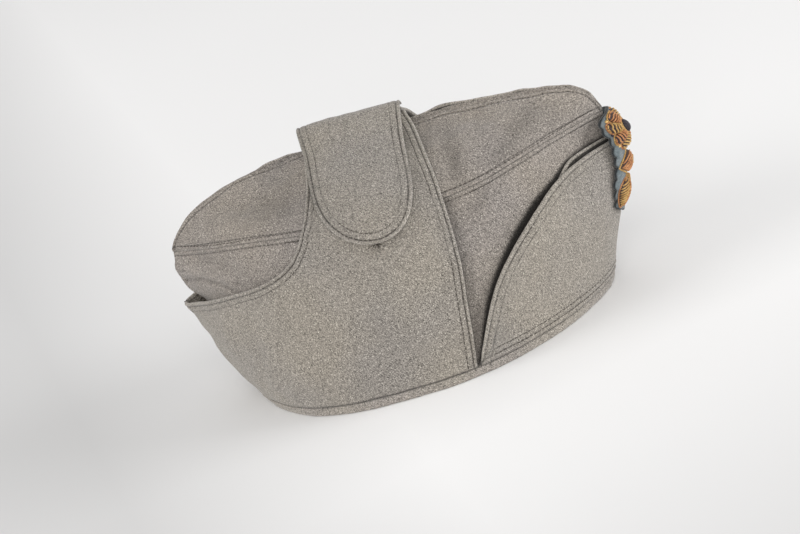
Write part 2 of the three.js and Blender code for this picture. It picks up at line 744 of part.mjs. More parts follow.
// A padded motif: rings of points round a centre, from the sole out to the rim and up to the crest.
// outline(turn) is its edge in a direction, and base is how high its sole lies above the felt's back.
function padGeometry(centre, outline, section, base, sides) {
  const points = [];
  const faces = [];
  const add = (share, turn, high) => {
    const { a, z } = outline(turn);
    points.push(...badgePoint(centre.a + a * share, centre.z + z * share, base + high).toArray());
    return points.length / 3 - 1;
  };
  const sole = FOOT_RINGS.map((share) => ({ share: share * section[0].share, high: section[0].high }));
  const rings = [...sole, ...section].map((row) =>
    Array.from({ length: sides }, (_, k) => add(row.share, (2 * Math.PI * k) / sides, row.high)),
  );
  const bottom = add(0, 0, section[0].high);
  const crest = add(0, 0, section[section.length - 1].high);
  for (let k = 0; k < sides; k += 1) {
    const n = (k + 1) % sides;
    for (let r = 0; r + 1 < rings.length; r += 1) {
      const [low, high] = [rings[r], rings[r + 1]];
      faces.push(low[k], low[n], high[n]);
      faces.push(low[k], high[n], high[k]);
    }
    faces.push(bottom, rings[0][n], rings[0][k]);
    faces.push(crest, rings[rings.length - 1][k], rings[rings.length - 1][n]);
  }
  return geometryOf(points, faces);
}
const ON_FELT = BADGE.thick + BADGE_GAP;
function rosette() {
  const outline = (turn) => {
    const lobe = Math.abs(Math.cos((ROSETTE.petals * turn) / 2));
    const radius = ROSETTE.radius - ROSETTE.notch * (1 - lobe);
    return { a: radius * Math.cos(turn), z: radius * Math.sin(turn) };
  };
  const centre = { a: 0, z: ROSETTE.z };
  return padGeometry(centre, outline, ROSETTE_SECTION, ON_FELT, 2 * ROSETTE.petals);
}
function boss() {
  const outline = (turn) => ({ a: BOSS.radius * Math.cos(turn), z: BOSS.radius * Math.sin(turn) });
  const base = ON_FELT + ROSETTE.dip + BADGE_GAP;
  return padGeometry({ a: 0, z: ROSETTE.z }, outline, BOSS_SECTION, base, BOSS_SIDES);
}
function lozenge() {
  const { halfWide, halfHigh } = LOZENGE;
  const outline = (turn) => {
    const reach = 1 / (Math.abs(Math.cos(turn)) + Math.abs(Math.sin(turn)));
    return { a: halfWide * reach * Math.cos(turn), z: halfHigh * reach * Math.sin(turn) };
  };
  return padGeometry({ a: 0, z: LOZENGE.z }, outline, LOZENGE_SECTION, ON_FELT, MOTIF_SIDES);
}
function leftLeaf() {
  const { foot, tip } = LEAVES;
  const run = new THREE.Vector2(tip.a - foot.a, tip.z - foot.z);
  const centre = { a: (foot.a + tip.a) / 2, z: (foot.z + tip.z) / 2 };
  const outline = (turn) => {
    const along = Math.cos(turn) / 2;
    const width = LEAVES.halfWide * Math.sin(turn) * (1 - LEAVES.fullness * Math.cos(turn));
    const across = new THREE.Vector2(-run.y, run.x).normalize().multiplyScalar(width);
    return { a: run.x * along + across.x, z: run.y * along + across.y };
  };
  return padGeometry(centre, outline, LEAF_SECTION, ON_FELT, MOTIF_SIDES);
}
// How far the visor's inner ply stands above the visor's edge, or below it where that is negative.
function plyRise(around) {
  return spread(-PLY_DROP, PLY_RISE, ease(around, PLY_SHOWS.from, PLY_SHOWS.to));
}

addPiece("hem_band", hem(), HEM_CLOTH);
addPair("crown_side", crownSide, CROWN_CLOTH);
addPair("crown_top", crownTop, CROWN_CLOTH);
addPiece("crown_gusset", gusset(), CROWN_CLOTH);
addPair("ear_flap", earFlap, FLAP_CLOTH);
addPiece("closing_tab", closingTab(), FLAP_CLOTH);
addPiece("tab_stud", tabStud(), STUD_METAL);
addPiece("visor_flap", visorPly(VISOR_OUT, VISOR_LEAN, FLAP_THICK, () => 0, VISOR_FLARE), FLAP_CLOTH);
addPiece("visor_inner_ply", visorPly(PLY_OUT, PLY_LEAN, PLY_THICK, plyRise, 0), FLAP_CLOTH);
addPiece("badge_backing", badgeBacking(), FELT);
addPiece("badge_rosette", rosette(), GOLD_THREAD);
addPiece("badge_boss", boss(), DARK_THREAD);
addPiece("badge_lozenge", lozenge(), COPPER_THREAD);
addPiece("badge_leaf_right", mirrored(leftLeaf()), GOLD_THREAD);
addPiece("badge_leaf_left", leftLeaf(), GOLD_THREAD);

// The origin is the middle of the cap's footprint box, on the surface that it rests on.
const box = new THREE.Box3().setFromObject(cap);
const centre = box.getCenter(new THREE.Vector3());
cap.position.set(-centre.x, -centre.y, -box.min.z);

export default cap;
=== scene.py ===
"""A field-grey military side cap, with its cloth, stitching and embroidered badge."""

import functools
import math

import bpy
import numpy as np
from mathutils import Matrix, Vector
from mathutils.bvhtree import BVHTree
from mathutils.kdtree import KDTree


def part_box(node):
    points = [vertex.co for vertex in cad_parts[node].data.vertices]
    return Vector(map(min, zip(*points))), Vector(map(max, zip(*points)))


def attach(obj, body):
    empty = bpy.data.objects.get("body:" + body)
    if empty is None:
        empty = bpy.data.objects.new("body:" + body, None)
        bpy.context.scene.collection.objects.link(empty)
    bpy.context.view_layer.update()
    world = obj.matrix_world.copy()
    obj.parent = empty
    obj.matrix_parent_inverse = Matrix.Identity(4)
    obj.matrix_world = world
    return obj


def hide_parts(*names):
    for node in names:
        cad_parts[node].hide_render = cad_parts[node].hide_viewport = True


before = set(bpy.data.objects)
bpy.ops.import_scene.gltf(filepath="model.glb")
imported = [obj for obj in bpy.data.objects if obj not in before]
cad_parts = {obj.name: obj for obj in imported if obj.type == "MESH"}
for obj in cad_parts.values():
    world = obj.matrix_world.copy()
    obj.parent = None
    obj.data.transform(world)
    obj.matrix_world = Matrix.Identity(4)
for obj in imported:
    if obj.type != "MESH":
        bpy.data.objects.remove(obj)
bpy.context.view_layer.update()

# Sizes of the cap in millimetres, as in the part's source. +X is its front and -Y its right.
CROWN_THICK = 1.8
FLAP_THICK = 1.8
PLY_THICK = 1.0
GAP = 0.3
HEM_HEIGHT = 5.0
HEM_OUT = 4.5
SEAM_HEIGHT = 95.0
END_STRETCH = 0.7
RIDGE_SPREAD = 1.7
RIDGE_RISE = 30.0
TOP_BULGE = 4.0
FULL_BULGE_CHORD = 60.0
GREATEST_BULGE = 4 / 27
GUSSET_DEPTH = 3.2
GUSSET_THICK = 1.3
GUSSET_CLEAR = 0.08
FLAP_OUT = 3.0
FLAP_LEAN = 1.0
STERN_RADIUS = 6.0
VISOR_OUT = 3.4
VISOR_LEAN = 0.8
VISOR_FLARE = 1.8
VISOR_FLARE_ENDS = (0.6, 0.78)
PLY_OUT = 1.35
PLY_LEAN = 0.3
PLY_RISE = 2.5
PLY_DROP = 4.0
PLY_LEAST = 1.2
PLY_SHOWS = (0.72, 0.82)
TAB_CENTRE_X = -5.2
TAB_HALF = 27.4
TAB_LEAN = {"forwards": 4.2, "power": 4}
TAB_FLARE = {"rear": 3.1, "front": 1.0, "share": 0.4}
TAB_PAST_FOLD = 0.3
TAB_ROUND_Z = 113.0
TONGUE_FOOT_X = -52.0
TONGUE_FOOT_Z = 85.0
TONGUE_TOP = 129.6
SEAM_GAP = 0.12
STERN_BLEND = 6
REAR_TUCK = {"depth": 4.2, "foot": 8, "full": 30, "low": 57, "high": 66, "x": -106, "whole_x": -121}
SAG_REACH = (2, 17)

# Stitching
PITCH = 2.7
THREAD_RADIUS = 0.2
INNER_THREAD = 0.85
INNER_FINER = 0.15
EDGE_ROWS = (2.1, 5.2)
TAB_ROWS = (2.1, 5.8)
VISOR_ROWS = (2.0, 6.0)
VISOR_HEM_ROWS = (3.2, 6.1)
SEAM_ROWS = {"below": 2.3, "above": 2.9}
RIDGE_ROW = 2.1
STITCH_REACH = 1.6

# Edges: how wide the worn line, the roll, the grooves and the step behind them are, and their depth
FAR = 99.0
EDGE_SAMPLE = 0.35
LIP = 0.9
LIP_REACH = 2
WORN_HALF = 0.75
ROLL_HALF = 0.36
GROOVE_HALF = 0.5
INNER_GROOVE = 0.55
STEP_ENDS = (0.5, 2.6)
PUFF = 0.2
PUCKER = 0.45
PUCKER_SIZE = 23
WAVES = 16

# Other sizes and shares of the scene's own
SIDE_LENGTH = 285.0
CURTAIN_LEVEL = 70.0
HEM_SQUARE = 0.42
RIB_SLANT = 52
# How dark the painted shade is at each place: behind the visor's edge, beside the tongue, along the crease over
# the curtain, just above the hem, on the inner ply below its top and in the dents.
DARK = {
    "behind_visor": 0.9, "beside_tongue": 0.34, "under_crease": 0.34,
    "at_hem": 0.5, "inner_ply": 0.88, "dent": 0.09,
}
WIRE_SIDES = 7
SENSOR = 36

# The camera stands as the photograph's did: the frame is 800 x 534 pixels.
PHOTO = {"wide": 800, "high": 534, "origin": (438, 331), "mm_per_pixel": 0.556}
VIEW = {"azimuth": 9, "elevation": 22, "roll": 20, "distance": 1500}


def table(columns, *rows):
    """A short table with named columns, each one an array."""
    return dict(zip(columns.split(), np.array(rows, float).T))


LEVELS = table(
    "z back front half backX backY frontX frontY",
    (0, 99.5, 98, 77, 3.2, 1.5, 1.9, 1.5), (20, 111.5, 105, 77, 2.9, 1.35, 1.9, 1.4),
    (40, 117, 112.5, 75, 2.6, 1.2, 1.85, 1.25), (60, 121.5, 118, 70.5, 2.4, 1.05, 2, 1.1),
    (80, 126, 122, 63, 2.3, 0.92, 2.1, 0.95), (95, 124, 125.5, 57, 2.2, 0.85, 2.2, 0.85),
)
SEAM_SAG = table(
    "x drop",
    (-126, 5), (-112, 4.3), (-95, 2.5), (-78, 0.7), (-64, 0), (-20, 0.6), (20, 2.2), (45, 2.5),
    (58, 2.1), (68, 1), (82, -0.1), (96, -1), (112, -0.8), (126, 0),
)
RIDGE = table(
    "x z apart",
    (-124, 96.5, 0.6), (-121, 100.5, 0.9), (-113, 105.8, 1.6), (-98, 112.6, 2.4), (-85, 117, 2.6),
    (-60, 121.6, 3), (-42, 122.8, 3.4), (26, 122, 4), (42, 123, 4.4), (60, 121.4, 4.4), (97, 117, 3.6),
    (112, 113.2, 2.4), (121, 106.5, 1.2), (125.5, 97, 0.6),
)
DENTS = table(
    "side x z long high rise depth",
    (-1, -104, 88, 18, 4, -0.35, 1.8), (-1, -57, 108, 16, 6, 0, 2.4), (-1, 78, 106, 17, 5, 0.36, 2.6),
    (-1, 43, 108, 6, 10, 0, 2.6), (-1, 51, 84, 12, 5, 0.4, 1.8), (-1, 100, 104, 10, 5, 0.2, 1.2),
    (1, -96, 84, 22, 6, -0.2, 2.2), (1, 62, 108, 20, 8, 0.3, 2.8), (1, -72, 108, 18, 6, 0, 1.8),
)
DENTS_TURN = {"from": SEAM_HEIGHT - 4, "to": SEAM_HEIGHT + 12, "inwards": 0.5, "down": 0.8}
DENTS_CLEAR = (2, 14)
CURTAIN_EDGE = table(
    "toBack z",
    (0, 85), (0.115, 79.4), (0.28, 74.5), (0.47, 71), (0.66, 67.1), (0.81, 63.8), (0.95, 61), (1, 60.6),
)
FLAP_FRONT = table(
    "z right left",
    (5, 25.4, 25.4), (22.7, 28.6, 28.6), (42, 31.6, 31.6), (64, 34.9, 34.9), (82, 35.6, 34.6),
    (98, 35.1, 30), (114, 31.9, 23), (124, 28.5, 21.6), (129.6, 25, 22),
)
TONGUE_BACK = table(
    "z x",
    (85, -52), (90, -47.3), (94.4, -43.9), (100.3, -39.8), (108, -36.6), (115, -34.6), (124, -34),
    (129.6, -34),
)
TONGUE_HALF = table(
    "z half",
    (95, 61), (102.6, 52.5), (110, 42), (117.5, 29.5), (124.2, 16), (129.6, 5),
)
TAB_SECTION = table(
    "y z",
    (4.4, 131), (1.6, 132.6), (-2, 133), (-7, 131.6), (-18, 126.4), (-32, 120), (-45, 112.6),
    (-56.6, 105), (-65.2, 96), (-69.4, 88.5), (-70.4, 84),
)
TAB_FOLD_RISE = table(
    "aside rise",
    (-1, 2), (-0.7, 2.9), (-0.3, 3.2), (0, 3.1), (0.4, 2.7), (0.7, 1.6), (1, 0.3),
)
VISOR_EDGE = table(
    "around z",
    (0.19, 9), (0.244, 23.8), (0.282, 32.9), (0.326, 41.2), (0.379, 48.9), (0.437, 55.3), (0.492, 60.6),
    (0.56, 66), (0.623, 70.4), (0.681, 73.9), (0.734, 76.6), (0.8, 78.9), (0.87, 79.7), (0.93, 79.5),
    (1, 78.6),
)
VISOR_CORNER = VISOR_EDGE["around"][0]

# The badge: a scalloped felt backing bent round the bow, with padded wire embroidery on it
BADGE = {"top": 96.5, "bottom": 38, "thick": 1.6, "clear": 0.3, "low_end": 3, "top_end": 2}
BADGE_WRAP = {"radius": 11, "turn": math.radians(50)}
BADGE_GAP = GAP + 0.4
BADGE_HALF = table(
    "z half",
    (37, 6), (45, 12), (55, 13), (64, 11.5), (73, 12.5), (85, 15), (93, 11.5), (96.5, 6),
)
SCALLOPS = {"count": 9, "depth": 1.4}
ON_FELT = BADGE["thick"] - 0.1
ROSETTE = {
    "z": 83.5, "radius": 11.6, "petals": 8, "petal": (4.2, 3.1),
    "high": 4.1, "dip": 2.2, "under": (8.2, 8.2), "knot": ((0.9, 0.9), 1.0),
}
BOSS = {"radius": 3.6, "high": 2.4}
LOZENGE = {"z": 64, "half": (6.6, 9), "high": 4.0}
LEAF = {"foot": (3.2, 56), "tip": (8.4, 42.5), "half": 4, "fullness": 0.3, "high": 3.9}
WIRE = {"radius": 0.46, "pitch": 1.3, "coil": 0.42}
PEARL = {"radius": 0.46, "pitch": 1.1, "swell": 0.3}


def smooth(rows, column, at):
    """A column's value at places along the first column, on a smooth curve that never overshoots."""
    x, y = next(iter(rows.values())), rows[column]
    slope = np.diff(y) / np.diff(x)
    turn, both = slope[:-1] * slope[1:], slope[:-1] + slope[1:]
    between = np.where(turn > 0, 2 * turn / np.where(both == 0, 1, both), 0)
    tangent = np.concatenate([slope[:1], between, slope[-1:]])
    at = np.clip(at, x[0], x[-1])
    i = np.clip(np.searchsorted(x, at, side="right") - 1, 0, len(x) - 2)
    step = x[i + 1] - x[i]
    t = (at - x[i]) / step
    value = y[i] + (y[i + 1] - y[i]) * t * t * (3 - 2 * t)
    value = value + t * (1 - t) ** 2 * tangent[i] * step
    return value + t * t * (t - 1) * tangent[i + 1] * step


def ease(low, high, at):
    """0 below low, 1 above high, and smooth between them."""
    t = np.clip((at - low) / (high - low), 0, 1)
    return t * t * (3 - 2 * t)


def unit(vectors):
    return vectors / np.maximum(np.linalg.norm(vectors, axis=-1, keepdims=True), 1e-9)


def hump(distance, half):
    return np.exp(-((distance / half) ** 2))


# The shapes of the cap: each gives points of its right-hand side, and the left is the mirror image


def at_end(out, z):
    """How far forwards or back an offset of the wall moves its end."""
    return out * (1 + END_STRETCH * np.minimum(z, SEAM_HEIGHT) / SEAM_HEIGHT)


def end_of(z, forward, out):
    """Half the width of a level outline, its reach towards one end, and how it falls off there."""
    ends = (("back", "front"), ("backX", "frontX"), ("backY", "frontY"))
    reach, power_x, power_y = (
        np.where(forward, smooth(LEVELS, front, z), smooth(LEVELS, back, z)) for back, front in ends
    )
    return smooth(LEVELS, "half", z), reach + at_end(out, z), power_x, power_y


def fall_off(power_x, power_y, share):
    return np.maximum(0, 1 - np.clip(share, 0, 1) ** power_x) ** (1 / power_y)


def wall(around, z, out):
    """The crown's side and what follows it. around runs from -1 at the back to 1 at the front."""
    around, z = np.broadcast_arrays(np.asarray(around, float), np.asarray(z, float))
    half, reach, power_x, power_y = end_of(z, around > 0, out)
    share = 1 - (1 - np.abs(around)) ** np.maximum(power_y, 1)
    y = -(half + out) * fall_off(power_x, power_y, share)
    return np.stack([np.sign(around) * reach * share, y, z], -1)


def dent_depth(points, side):
    depth = 0
    for k in np.flatnonzero(DENTS["side"] == side):
        along = points[..., 0] - DENTS["x"][k]
        across = points[..., 2] - DENTS["z"][k] - DENTS["rise"][k] * along
        depth = depth + DENTS["depth"][k] * hump(along, DENTS["long"][k]) * hump(across, DENTS["high"][k])
    return depth * ease(*DENTS_CLEAR, -points[..., 1])


def moved(points, *by):
    """Points moved by a distance along each axis."""
    return points + np.stack(np.broadcast_arrays(*by), -1)


def dented(points, side):
    """Moves points of the crown inwards where a soft dent of that side reaches them."""
    depth = dent_depth(points, side)
    on_top = ease(DENTS_TURN["from"], DENTS_TURN["to"], points[..., 2])
    inwards = depth * (1 + (DENTS_TURN["inwards"] - 1) * on_top)
    return moved(points, 0, inwards, -depth * DENTS_TURN["down"] * on_top)


def tucked(points):
    """Moves the crown's back forwards where it goes down behind the curtain's edge."""
    x, z = points[..., 0], points[..., 2]
    share = ease(REAR_TUCK["foot"], REAR_TUCK["full"], z) * (1 - ease(REAR_TUCK["low"], REAR_TUCK["high"], z))
    return moved(points, REAR_TUCK["depth"] * share * ease(-REAR_TUCK["x"], -REAR_TUCK["whole_x"], -x), 0, 0)


def seam_height(x):
    return SEAM_HEIGHT - smooth(SEAM_SAG, "drop", x)


def sagged(points):
    """Moves what lies near the long seam with the seam's sag."""
    close = 1 - ease(*SAG_REACH, np.abs(points[..., 2] - SEAM_HEIGHT))
    return moved(points, 0, 0, -close * smooth(SEAM_SAG, "drop", points[..., 0]))


def ridge(around, out):
    outer = np.where(around > 0, RIDGE["x"][-1], -RIDGE["x"][0])
    share = 1 - (1 - np.abs(around)) ** RIDGE_SPREAD
    along = np.sign(around) * share * outer
    rise = smooth(RIDGE, "z", along) - SEAM_HEIGHT
    x = np.sign(around) * share * (outer + out * (1 + END_STRETCH))
    y = -smooth(RIDGE, "apart", along)
    return np.stack([x, y, SEAM_HEIGHT + rise * (1 + out / RIDGE_RISE)], -1)


def top(around, rise, out):
    """The crown's top panel. rise runs from 0 at the seam to 1 at the ridge."""
    low = wall(around, SEAM_HEIGHT, out) + np.array([0, 0, SEAM_GAP / 2])
    high = ridge(around, out)
    points = low + (high - low) * rise[..., None]
    across = np.stack([high[..., 1] - low[..., 1], high[..., 2] - low[..., 2]], -1)
    chord = np.linalg.norm(across, axis=-1)
    crest = rise * (1 - rise) ** 2 / GREATEST_BULGE
    bulge = TOP_BULGE * crest * np.minimum(1, chord / FULL_BULGE_CHORD) / np.maximum(chord, 1)
    points[..., 1] -= bulge * across[..., 1]
    points[..., 2] += bulge * across[..., 0]
    return points


def right_of_seam(points):
    points[..., 1] = np.minimum(points[..., 1], -SEAM_GAP / 2)
    return points


def flap(x, z):
    """The middle of the ear flap's cloth."""
    lean = FLAP_LEAN * np.minimum(z, SEAM_HEIGHT) / SEAM_HEIGHT
    half, reach, power_x, power_y = end_of(z, x > 0, FLAP_OUT + lean)
    half = np.where(z > SEAM_HEIGHT, smooth(TONGUE_HALF, "half", z), half + FLAP_OUT + lean)
    half = half * fall_off(power_x, power_y, np.abs(x) / reach)
    from_end = np.clip(reach + x, 0, STERN_RADIUS)
    stern = np.sqrt(from_end * (2 * STERN_RADIUS - from_end))
    rounded = (half**STERN_BLEND + stern**STERN_BLEND) ** (1 / STERN_BLEND)
    return np.stack([x, -np.where(x < 0, rounded, half), z], -1)


def curtain(share, z):
    """The flap behind the tongue. share is of the level line from the tongue's foot to the back."""
    levels = np.linspace(z.min(), z.max(), 60)
    reach = end_of(levels, False, FLAP_OUT + FLAP_LEAN * levels / SEAM_HEIGHT)[1][:, None]
    to_end = np.linspace(1, 0, 300)[None, :] ** 2
    lines = flap(*np.broadcast_arrays(-reach + (reach + TONGUE_FOOT_X) * to_end, levels[:, None]))
    places = []
    for line in lines:
        run = lengths(line)
        places.append(line_at(share * run[-1], run, line[:, :2]))
    places = np.array(places)
    x, y = (
        np.transpose([np.interp(z[:, i], levels, places[:, i, k]) for i in range(z.shape[1])]) for k in range(2)
    )
    return right_of_seam(np.stack([x, y, z], -1))


def chordal_curve(points, count):
    """Even points along a smooth curve through a few points."""
    points = np.vstack([2 * points[0] - points[1], points, 2 * points[-1] - points[-2]])
    made = []
    for a, b, c, d in zip(points, points[1:], points[2:], points[3:]):
        before, here, after = (math.sqrt(np.linalg.norm(q - p)) for p, q in ((a, b), (b, c), (c, d)))
        lead = ((b - a) / before - (c - a) / (before + here) + (c - b) / here) * here
        trail = ((c - b) / here - (d - b) / (here + after) + (d - c) / after) * here
        t = np.linspace(0, 1, 60, endpoint=False)[:, None]
        bend = (2 * t**3 - 3 * t**2 + 1) * b + (t**3 - 2 * t**2 + t) * lead
        made.append(bend + (3 * t**2 - 2 * t**3) * c + (t**3 - t**2) * trail)
    return resampled(np.vstack([*made, points[-2]]), count)


def lengths(points):
    """The distance along a line of points, at each point."""
    return np.concatenate([[0], np.cumsum(np.linalg.norm(np.diff(points, axis=0), axis=1))])


def line_at(at, run, points):
    """Points of a line at distances along it, where run has the distance of each of its own."""
    return np.stack([np.interp(at, run, points[:, k]) for k in range(points.shape[1])], 1)


def resampled(points, count):
    run = lengths(points)
    return line_at(np.linspace(0, run[-1], count), run, points)


TAB_LINE = chordal_curve(np.stack([TAB_SECTION["y"], TAB_SECTION["z"]], 1), 600)
TAB_ALONG = unit(np.gradient(TAB_LINE, axis=0))
TAB_LENGTH = lengths(TAB_LINE)[-1]


def tab(x, share, skin):
    """The closing tab. share runs from 0 at its left end to 1 at the section's right end."""
    place, index = share * (len(TAB_LINE) - 1), np.arange(len(TAB_LINE))
    y, z, along_y, along_z = (np.interp(place, index, row) for row in (*TAB_LINE.T, *TAB_ALONG.T))
    offset = skin * FLAP_THICK / 2
    _, reach, power_x, power_y = end_of(SEAM_HEIGHT, x > 0, FLAP_OUT + FLAP_LEAN)
    narrow = fall_off(power_x, power_y, np.abs(x) / reach)
    return np.stack([x, (y + offset * along_z) * narrow, z - offset * along_y], -1)


def tab_place(aside, share):
    """Where a place of the tab lies along the cap, and how much it is raised over the fold."""
    fold = 1 - ease(0, TAB_FLARE["share"], share)
    half = TAB_HALF + fold * np.where(aside < 0, TAB_FLARE["rear"], TAB_FLARE["front"])
    x = TAB_CENTRE_X + TAB_LEAN["forwards"] * share ** TAB_LEAN["power"] + half * aside
    return x, fold * smooth(TAB_FOLD_RISE, "rise", aside)


def tab_share_at(z):
    """Where the tab's section comes down to a height on its right-hand side."""
    down = np.arange(int(TAB_PAST_FOLD * len(TAB_LINE)), len(TAB_LINE))
    return np.interp(-z, -TAB_LINE[down, 1], down) / (len(TAB_LINE) - 1)


# A closed piece of cloth on a grid: rows run up, and columns run forwards on the right-hand side

NEAR_EDGE = np.array([0, 0.06, 0.2, 0.45, 0.8, 1.2, 1.6, 2.0, 2.4, 2.9, 3.6, 4.3, 4.9, 5.3, 5.7, 6.2, 7])
NEAR_FOLD = np.array([0, 0.06, 0.2, 0.45, 0.9, 1.6, 2.4])


def graded(length, cells, start=NEAR_EDGE, end=NEAR_EDGE):
    """Distances from 0 to each length: close together near the ends, and even between them."""
    length = np.asarray(length, float)[..., None]
    most = 0.9 * length / (start[-1] + end[-1])
    near, far = start * np.minimum(1, most), end * np.minimum(1, most)
    even = np.linspace(0, 1, cells + 1)
    middle = near[..., -1:] + (length - near[..., -1:] - far[..., -1:]) * even
    return np.concatenate([near[..., :-1], middle, length - far[..., -2::-1]], -1)


def ripple(points, size, height, seed):
    """Soft random waves of about one size."""
    dice = np.random.default_rng(seed)
    way = unit(dice.normal(size=(WAVES, 3))) * (2 * math.pi / (size * dice.uniform(0.7, 1.5, (WAVES, 1))))
    phase = dice.uniform(0, 2 * math.pi, WAVES)
    return height * math.sqrt(2 / WAVES) * np.cos(points @ way.T + phase).sum(1)


def nearest(samples, points):
    """The closest sample to each point, and its distance."""
    tree = KDTree(len(samples))
    for k, sample in enumerate(samples):
        tree.insert(sample, k)
    tree.balance()
    index, far = zip(*(tree.find(point)[1:] for point in points))
    return np.array(index), np.array(far)


class Cloth:
    """Two skins on one grid, joined along a rounded edge."""

    def __init__(self, outer, inner, holds=None, side=-1):
        self.side, self.sewn = side, []
        self.index = np.arange(outer[..., 0].size).reshape(outer.shape[:2])
        low, high = self.index[:-1], self.index[1:]
        cells = np.stack([low[:, :-1], low[:, 1:], high[:, 1:], high[:, :-1]], -1)
        self.cells = cells.reshape(-1, 4) if holds is None else cells[holds]
        self.outer, self.inner = outer.reshape(-1, 3).copy(), inner.reshape(-1, 3).copy()
        self.middle = (self.outer + self.inner) / 2
        sides = np.sort(np.vstack([self.cells[:, [k, (k + 1) % 4]] for k in range(4)]), 1)
        sides, uses = np.unique(sides, axis=0, return_counts=True)
        self.rim = sides[uses == 1]
        self.on_rim, self.used = np.zeros((2, len(self.outer)), bool)
        self.on_rim[self.rim] = self.used[self.cells] = True
        self.normal, self.weave = self.normals(), self.flat_places()
        self.wear_and_edge_shade, self.shade, self.run = np.zeros((3, len(self.outer)))
        self.row, self.lip = np.full(len(self.outer), FAR), np.full(len(self.outer), LIP)

    def normals(self):
        a, b, c, d = (self.middle[self.cells[:, k]] for k in range(4))
        total = np.zeros_like(self.middle)
        for k in range(4):
            np.add.at(total, self.cells[:, k], np.cross(c - a, d - b))
        return unit(total)

    def thicken(self, thick):
        """Sets the skins to each side of the middle. At the back seam they keep to its plane."""
        way = self.normal.copy()
        way[np.abs(self.middle[:, 1]) < SEAM_GAP, 1] = 0
        way = unit(way) * thick / 2
        self.outer, self.inner = self.middle + way, self.middle - way

    def flat_places(self):
        """Distances along each row and up each column, for the weave."""
        grid = self.middle[self.index]
        along, up = np.zeros((2, *self.index.shape))
        along[:, 1:] = np.cumsum(np.linalg.norm(np.diff(grid, axis=1), axis=2), 1)
        along -= along.mean(1, keepdims=True)
        up[1:] = np.cumsum(np.linalg.norm(np.diff(grid, axis=0), axis=2), 0)
        return np.stack([along.ravel(), up.ravel(), np.zeros(along.size)], 1)

    def path(self, *spans):
        """The points along parts of the grid's rows and columns."""
        return np.concatenate([np.atleast_1d(self.index[span]) for span in spans])

    def lift(self, height, inside=1.0):
        """Moves both skins outwards by a height for each point."""
        move = self.normal * np.asarray(height)[:, None]
        self.outer += move
        self.inner += move * inside
        self.middle += move * (1 + inside) / 2

    # Each point's shade holds painted shade and a few real stains; the darker value stays.
    def darken(self, shade):
        self.shade = np.maximum(self.shade, shade)

    def distance(self, path):
        """How far each point is from an edge, and how far along the edge it is."""
        line = self.middle[path]
        line = resampled(line, max(8, int(lengths(line)[-1] / EDGE_SAMPLE)))
        away, along = np.full(len(self.middle), FAR), np.zeros(len(self.middle))
        index, away[self.used] = nearest(line, self.middle[self.used])
        along[self.used] = lengths(line)[index]
        return away, along

    def finish_edge(self, path, rows=(), wear_and_edge_shade=1.0, step=0.3, groove=0.34, roll=0.25, lip=LIP, fade=1.0):
        """A worn, rolled edge, stitch rows in grooves, cloth puffed between them and a step behind."""
        away, along = self.distance(path)
        self.wear_and_edge_shade = np.maximum(self.wear_and_edge_shade, wear_and_edge_shade * hump(away, WORN_HALF))
        self.lip = np.where(away < LIP_REACH, lip, self.lip)
        if not rows:
            return
        first, last = rows[0], rows[-1]
        pucker = 1 + PUCKER * np.cos(along * math.pi / PITCH) * ripple_of(along, PUCKER_SIZE, last)
        height = step * (1 - ease(last + STEP_ENDS[0], last + STEP_ENDS[1], away))
        height = height + roll * hump(away - first * 0.5, first * ROLL_HALF)
        if len(rows) > 1:
            height = height + PUFF * hump(away - sum(rows) / 2, (last - first) * ROLL_HALF) * pucker
        for inset in rows:
            inner = inset > first
            deep = groove * (INNER_GROOVE if inner else 1)
            height = height - deep * hump(away - inset, GROOVE_HALF) * (0.8 + 0.2 * pucker)
            off = np.abs(away - inset) + (INNER_FINER if inner else 0)
            self.run = np.where(off < self.row, along, self.run)
            self.row = np.minimum(self.row, off)
        self.lift(height * fade, 0.4)
        self.sewn.append((path, rows))

    def close(self):
        """Rounds the free edges, by the distance of each point from the nearest."""
        ends = self.middle[self.rim]
        edge = np.full(len(self.middle), FAR)
        edge[self.used] = nearest(np.vstack([ends[:, 0], ends[:, 1], ends.mean(1)]), self.middle[self.used])[1]
        edge[self.on_rim] = 0
        round_off = np.sqrt(1 - (1 - np.minimum(edge / self.lip, 1)) ** 2)[:, None]
        self.outer = self.middle + (self.outer - self.middle) * round_off
        self.inner = self.middle + (self.inner - self.middle) * round_off

    def build(self, name, material):
        """The finished object. The skins share their points along the edge."""
        self.close()
        count = len(self.outer)
        inside = np.arange(count) + np.where(self.on_rim, 0, count)
        points = np.vstack([self.outer, self.inner])
        faces = np.vstack([self.cells, inside[self.cells[:, ::-1]]])
        if self.side > 0:
            points, faces = points * [1, -1, 1], faces[:, ::-1]
        used = np.zeros(2 * count, bool)
        used[faces] = True
        made = mesh_object(name, points[used], (np.cumsum(used) - 1)[faces], [material])
        for key in ("wear_and_edge_shade", "shade", "row", "run", "weave"):
            give(made, key, np.concatenate([getattr(self, key)] * 2)[used])
        return made


def ripple_of(along, size, seed):
    """A slow change along an edge, between about -1 and 1."""
    dice = np.random.default_rng(int(seed * 10))
    phases = dice.uniform(0, 2 * math.pi, 3)
    return sum(np.cos(along * 2 * math.pi / (size * k) + p) for k, p in zip((1, 1.7, 2.9), phases)) / 3


def linked(name, data):
    """A new object in the scene."""
    made = bpy.data.objects.new(name, data)
    bpy.context.scene.collection.objects.link(made)
    return made


